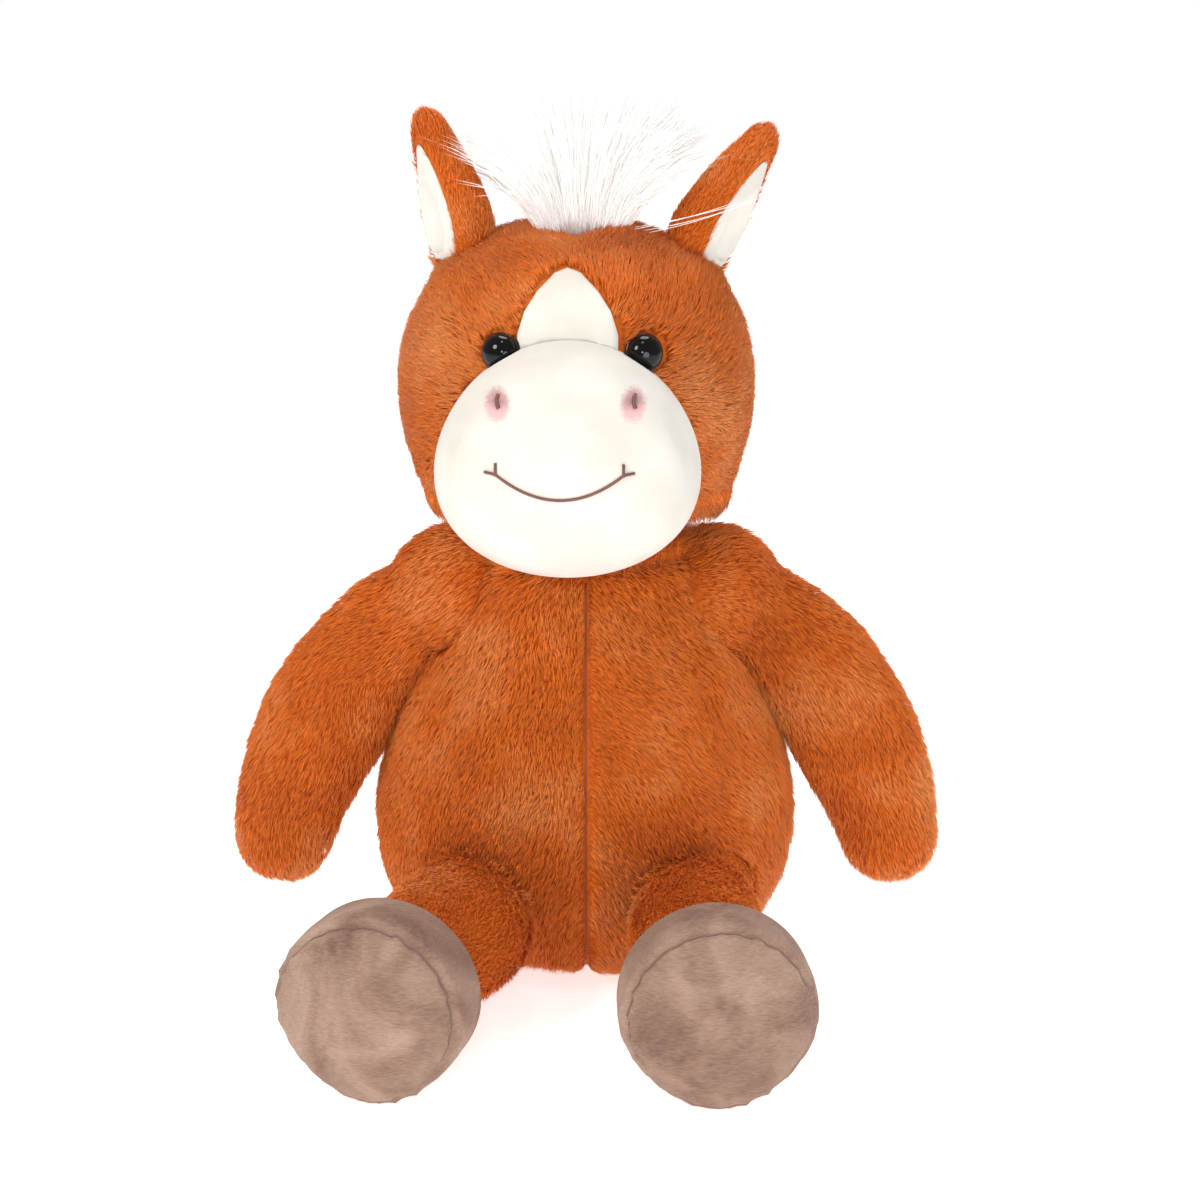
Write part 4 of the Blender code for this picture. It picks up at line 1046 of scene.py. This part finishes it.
def hoofForm(word):
    pivot, axis = pivots["leg_" + word + "_splay"], legAxis(word)
    seam = hoof["overlap"] + hoof["band"]
    length = seam + hoof["bulge"]

    # narrower towards the floor, to a blunt point, with gathers at the seam, and flat where it stands
    def toe(place, share):
        middle = pivot + axis * (place - pivot).dot(axis)
        below = max(0.0, (middle.z - place.z) / (hoof["depth"] / 2))
        off = place - middle
        place = middle + Vector((off.x, off.y, 0)) * (1 - hoof["point"] * below * below) + upward * off.z
        off = place - middle
        turned = atan2(off.z, off.dot(axis.cross(upward)))
        # waves that share no period, so that no two gathers are alike
        pucker = 1 + 0.35 * sin(turned * 31) + 0.25 * sin(turned * 17 + 2)
        pleat = max(0.0, sin(turned * 23)) * max(0.0, 0.4 + 0.6 * sin(turned * 3 + 1))
        past = share * length - seam
        inward = hoof["groove"] * exp(-(past / hoof["grooveWidth"]) ** 2)
        inward += hoof["gather"] * hoof["groove"] * pucker * exp(-(past / hoof["gatherWidth"]) ** 2)
        inward -= hoof["pleat"] * pleat * exp(-(past / hoof["pleatWidth"]) ** 2)
        place += (middle - place).normalized() * inward
        place.z = max(place.z, hoof["floor"])
        return place

    points = straight(pivot, axis, leg["length"] - hoof["overlap"], length, thirds)
    return softForm(points, hoof, axis.cross(upward), 0, 96, 110, toe)


# a wide disc along an axis, to cut away what lies between two heights
def slab(place, axis, low, high):
    return turnedForm([(0, low), (beyond, low), (beyond, high), (0, high)], place, axis)


for word, side in sides.items():
    joint, body, name = "leg_" + word + "_splay", "leg_" + word, word.title()
    pivot, axis, splay = pivots[joint], legAxis(word), leg["splay"][word]
    across = axis.cross(upward)
    points = [pivot + axis * leg["length"] * s for s in thirds]
    inner = across * (1 if across.x * side < 0 else -1)

    # fuller on the inner side, where the thigh spreads on the floor
    def thigh(place, share):
        off = (place - pivot).dot(inner)
        swell = sin(pi * min(1, share * leg["spreadEnd"])) ** 2
        return place + inner * max(0.0, off) * leg["spread"][word] * swell

    bm = softForm(points, leg, across, -pileRise, 64, 48, thigh)
    # clear of the torso at rest and at both ends of the splay
    for swing in (0, splay, splay - leg["most"]):
        swept = torsoForm(clearance, 64, 48)
        turn = Matrix.Rotation(radians(swing * side), 4, "Z")
        turn = Matrix.Translation(pivot) @ turn @ Matrix.Translation(-pivot)
        bmesh.ops.transform(swept, matrix=turn, verts=swept.verts)
        bm = combined(bm, [swept])
    bm = combined(bm, [ballForm(pivot, balls[joint])], "UNION")
    coat = piece("legCoat" + name, bm, backingMat, body, ("leg_skin_" + word,))
    shortPile(
        "legPile" + name, coat, body, leg["nap"], combTo(axis),
        lambda p, n: (awayFrom(p, pivot) > balls[joint] + leg["bare"]) & (p[:, 2] > leg["hem"])
        & ((p - np.array(pivot)) @ np.array(axis) < leg["length"] - leg["cuff"]),
    )
    shortPile(
        "legRootPile" + name, coat, body, leg["rootNap"], combTo(axis),
        lambda p, n: comesOut(p, joint, (0, -splay, leg["most"] - splay)) & (p[:, 2] > leg["rootHem"]),
    )
    seam = leg["length"] + hoof["band"]
    calf = softForm(points, leg, across, -pileRise + hoof["calfGap"], 64, 48)
    bm = combined(hoofForm(word), [calf, slab(pivot, axis, seam, seam + beyond)])
    piece("hoofBand" + name, bm, taupeMat, body, ("hoof_band_" + word,))
    bm = combined(hoofForm(word), [slab(pivot, axis, -beyond, seam + hoof["soleGap"])])
    piece("hoofSole" + name, bm, taupeMat, body, ("hoof_sole_" + word,))
    # a darker thread round the hoof's seam, in its groove: stitching and painted shade of the crease
    skin, middle, seamLine = BVHTree.FromBMesh(hoofForm(word)), pivot + axis * seam, []
    for step in range(hoof["steps"] + 1):
        turn = tau * step / hoof["steps"]
        seamLine.append(skin.ray_cast(middle, across * cos(turn) + upward * sin(turn))[0])
    bm = threadTube(seamLine, hoof["threadRadius"], axis)
    piece("hoofSeamShade" + name, bm, hoofSeamShadeMat, body, ())
print("legs made")


# Mane and tail

# hairs that share a lock end close together; spread says how far apart they start, bend and end
def locks(name, look, roots, tips, middles, body, nodes=()):
    control, count, spread = [], look["hairs"], look["spread"]
    for root, tip, mid in zip(roots, tips, middles):
        start = root + rng.normal(0, spread[0], (count, 3))
        fan = rng.normal(0, 1, (count, 3))
        cut = rng.uniform(0.8, 1.04, (count, 1))
        bend = mid + fan * spread[1]
        end = mid + (tip - mid) * cut + fan * spread[2] * rng.uniform(0.3, 1.6, (count, 1))
        first = start + (bend - start) * 0.5 + rng.normal(0, spread[0] / 2, (count, 3))
        control.append(np.stack([start, first, bend + (bend - first) * 0.15, end], 1))
    control = np.concatenate(control)
    width = rng.uniform(*look["thick"], len(control))
    return strands(name, control, width, look["rings"], hairMat, body, nodes)


mane = {
    "locks": 90, "hairs": 60, "spread": (0.0015, 0.0026, 0.0036), "thick": (0.0003, 0.00046), "rings": 5,
    "root": 0.011, "rootDepth": 0.005, "top": 0.068, "fan": 38, "nod": (8, 13), "uneven": (0.8, 1.04),
    "shorter": 0.22, "sag": 0.1, "bend": 0.58, "bendBy": (0.55, 1, 1.12),
}
base = np.array([headLine.x + 0.001, midline.y + 0.001, crown - head["dip"] - 0.004])
turn = rng.uniform(-1, 1, mane["locks"])
lean = np.radians(np.sign(turn) * np.abs(turn) ** 0.95 * mane["fan"])
tilt = np.radians(rng.normal(*mane["nod"], mane["locks"]))
length = mane["top"] * rng.uniform(*mane["uneven"], mane["locks"]) * (1 - mane["shorter"] * np.abs(turn))
aim = np.stack([np.sin(lean), np.sin(tilt) * np.cos(lean), np.cos(lean) * np.cos(tilt)], 1)
deep = rng.uniform(-1, 1, mane["locks"]) * mane["rootDepth"]
roots = base + np.stack([turn * mane["root"], deep, np.zeros(mane["locks"])], 1)
middles = roots + (aim * np.array(mane["bendBy"])) * length[:, None] * mane["bend"]
tips = roots + aim * length[:, None] + np.array([0, 0, -1]) * (length * mane["sag"] * np.abs(turn))[:, None]
locks("forelock", mane, roots, tips, middles, "head", ("forelock",))

# a thin wisp blows over to the right ear, and single hairs stray over the brow and to the left
stray = {
    "hairs": 1, "spread": (0.0004, 0.0006, 0.0006), "thick": (0.00026, 0.00034), "rings": 10,
    "tips": [
        (0.061, -0.014, 0.2706), (0.06, -0.014, 0.2698), (0.062, -0.013, 0.27), (0.054, -0.015, 0.2684),
        (0.0585, -0.014, 0.269), (0.029, -0.032, 0.24), (0.006, -0.03, 0.244), (-0.036, -0.014, 0.266),
        (-0.041, -0.012, 0.27),
    ],
    "bow": [-0.003, -0.0035, -0.0025, -0.003, -0.004, 0.008, 0.006, 0.01, 0.008],
}
tips = np.array(stray["tips"]) + np.array([0, midline.y, 0])
roots = np.tile(base, (len(tips), 1)) + rng.normal(0, 0.0006, tips.shape) + np.array([0.003, -0.003, 0.003])
middles = roots + (tips - roots) * 0.55 + np.array([[0, -0.004, bow] for bow in stray["bow"]])
locks("forelockStrays", stray, roots, tips, middles, "head")

nape = {
    "locks": 72, "hairs": 42, "spread": (0.0016, 0.0016, 0.0022), "thick": (0.0003, 0.00046), "rings": 4,
    "length": 0.088, "start": 68.0, "reach": 0.93, "sunk": 0.0015, "root": 0.006, "lift": (0.0055, 0.0045),
    "bend": 0.007, "hair": (0.017, 0.023),
}
t = (np.arange(nape["locks"]) + 0.5) / nape["locks"]
turn = radians(nape["start"]) - nape["length"] / (head["depth"] / 2) * t * nape["reach"]
out = np.stack([np.zeros(len(t)), np.cos(turn), np.sin(turn)], 1)
reach = np.array([0, head["depth"] / 2 - nape["sunk"], head["height"] / 2 - nape["sunk"]])
roots = np.array(headMiddle) + out * reach
roots[:, 0] += rng.uniform(-1, 1, len(t)) * nape["root"]
sweep = np.stack([rng.uniform(-1.0, 1.0, len(t)) * 0.6, np.sin(turn) * 0.9, -np.cos(turn)], 1)
middles = roots + out * nape["lift"][0] + sweep * nape["bend"]
fall = unit(sweep + np.array([0, 0, -0.5])) * rng.uniform(*nape["hair"], len(t))[:, None]
locks("napeMane", nape, roots, roots + out * nape["lift"][1] + fall, middles, "head", ("nape_mane",))

tail = {
    "locks": 46, "hairs": 66, "spread": (0.0016, 0.0018, 0.0022), "thick": (0.00032, 0.0005), "rings": 5,
    "length": 0.07, "width": 0.026, "root": 0.04, "sunk": 0.0087, "floor": 0.002, "uneven": (0.7, 0.97),
    "path": [(0, 0), (0.4, 0.25), (0.75, 0.7)],     # share of its length, share of its drop
}
girth = smoothTable(torso["girth"], tail["root"] / torso["height"])
start, low = midline.y + torso["depth"] / 2 * girth - tail["sunk"], tail["width"] / 2 + tail["floor"]
drop = tail["root"] - low
line = [Vector((0, start + tail["length"] * s, tail["root"] - drop * down)) for s, down in tail["path"]]
line.append(Vector((0, start + tail["length"], low)))
angle = rng.uniform(0, tau, tail["locks"])
off = np.sqrt(rng.random(tail["locks"])) * tail["width"] / 2
ring = np.stack([np.cos(angle) * off, np.zeros(len(off)), np.sin(angle) * off], 1)
ends = rng.uniform(*tail["uneven"], tail["locks"])
roots = np.array(routeAt(line, 0.06)[0]) + ring * 0.5
middles = np.array(routeAt(line, 0.5)[0]) + ring * 0.95
tips = np.array([routeAt(line, s)[0] for s in ends]) + ring * 0.75 + rng.normal(0, 0.002, ring.shape)
tips[:, 2] = np.maximum(tips[:, 2], tail["floor"])
locks("tailHair", tail, roots, tips, middles, "torso", ("tail",))
print("mane and tail made")


# Studio

# a white floor that fades out into the white surround and keeps a faint contact shadow
def paleFloor(tree):
    diffuse = node(tree, "BsdfDiffuse", {"Color": [1, 1, 1, 1], "Roughness": 0.5})
    glow = node(tree, "Emission", {"Color": [1, 1, 1, 1], "Strength": 0.62})
    return node(tree, "AddShader", {0: diffuse, 1: glow})


bm = bmesh.new()
bmesh.ops.create_grid(bm, x_segments=1, y_segments=1, size=4)
floor = placed("floor", meshOf("floor", bm))
floor.data.materials.append(material("paleFloor", paleFloor))

# the camera sees a white surround, which lights the toy more weakly
world = bpy.data.worlds.new("studio")
bpy.context.scene.world = world
world.use_nodes = True
tree = world.node_tree
tree.nodes.clear()
node(tree, "OutputWorld", {"Surface": node(tree, "MixShader", {
    0: node(tree, "LightPath").outputs["Is Camera Ray"],
    1: node(tree, "Background", {"Color": linear("#FFFDFB"), "Strength": 0.4}),
    2: node(tree, "Background", {"Color": [1, 1, 1, 1], "Strength": 1.0}),
})})


def aimed(obj, place, target):
    obj.location = place
    obj.rotation_euler = (Vector(target) - obj.location).to_track_quat("-Z", "Y").to_euler()


def softbox(name, place, target, size, power, colour="#FFFFFF"):
    data = bpy.data.lights.new(name, "AREA")
    data.shape, data.size, data.energy = "DISK", size, power
    data.color = linear(colour)[:3]
    aimed(placed(name, data), place, target)


softbox("keySoftbox", (-0.75, -0.75, 0.95), (0, 0, 0.15), 0.45, 7.8, "#FFF8F0")
softbox("fillSoftbox", (0.45, -1.25, 0.22), (0, 0, 0.06), 0.7, 6.2)
softbox("topSoftbox", (0.1, 0.35, 1.2), (0, 0, 0.2), 0.6, 5.5)
softbox("catchSoftbox", (-0.02, -1.15, 0.52), (0, 0, 0.22), 0.18, 1.2)
softbox("browSoftbox", (0.0, -0.4, 1.25), (0, 0, 0.22), 0.2, 0.8)

view = {"target": 0.126, "rise": 15, "away": 1.1, "sensor": 36, "lens": 94.29, "shift": 14 / 1200}
target, rise = midline + upward * view["target"], radians(view["rise"])
data = bpy.data.cameras.new("camera")
data.sensor_width, data.lens, data.shift_x = view["sensor"], view["lens"], view["shift"]
camera = placed("camera", data)
aimed(camera, target + view["away"] * Vector((0, -cos(rise), sin(rise))), target)
bpy.context.scene.camera = camera
bpy.context.scene.view_settings.view_transform = "Standard"
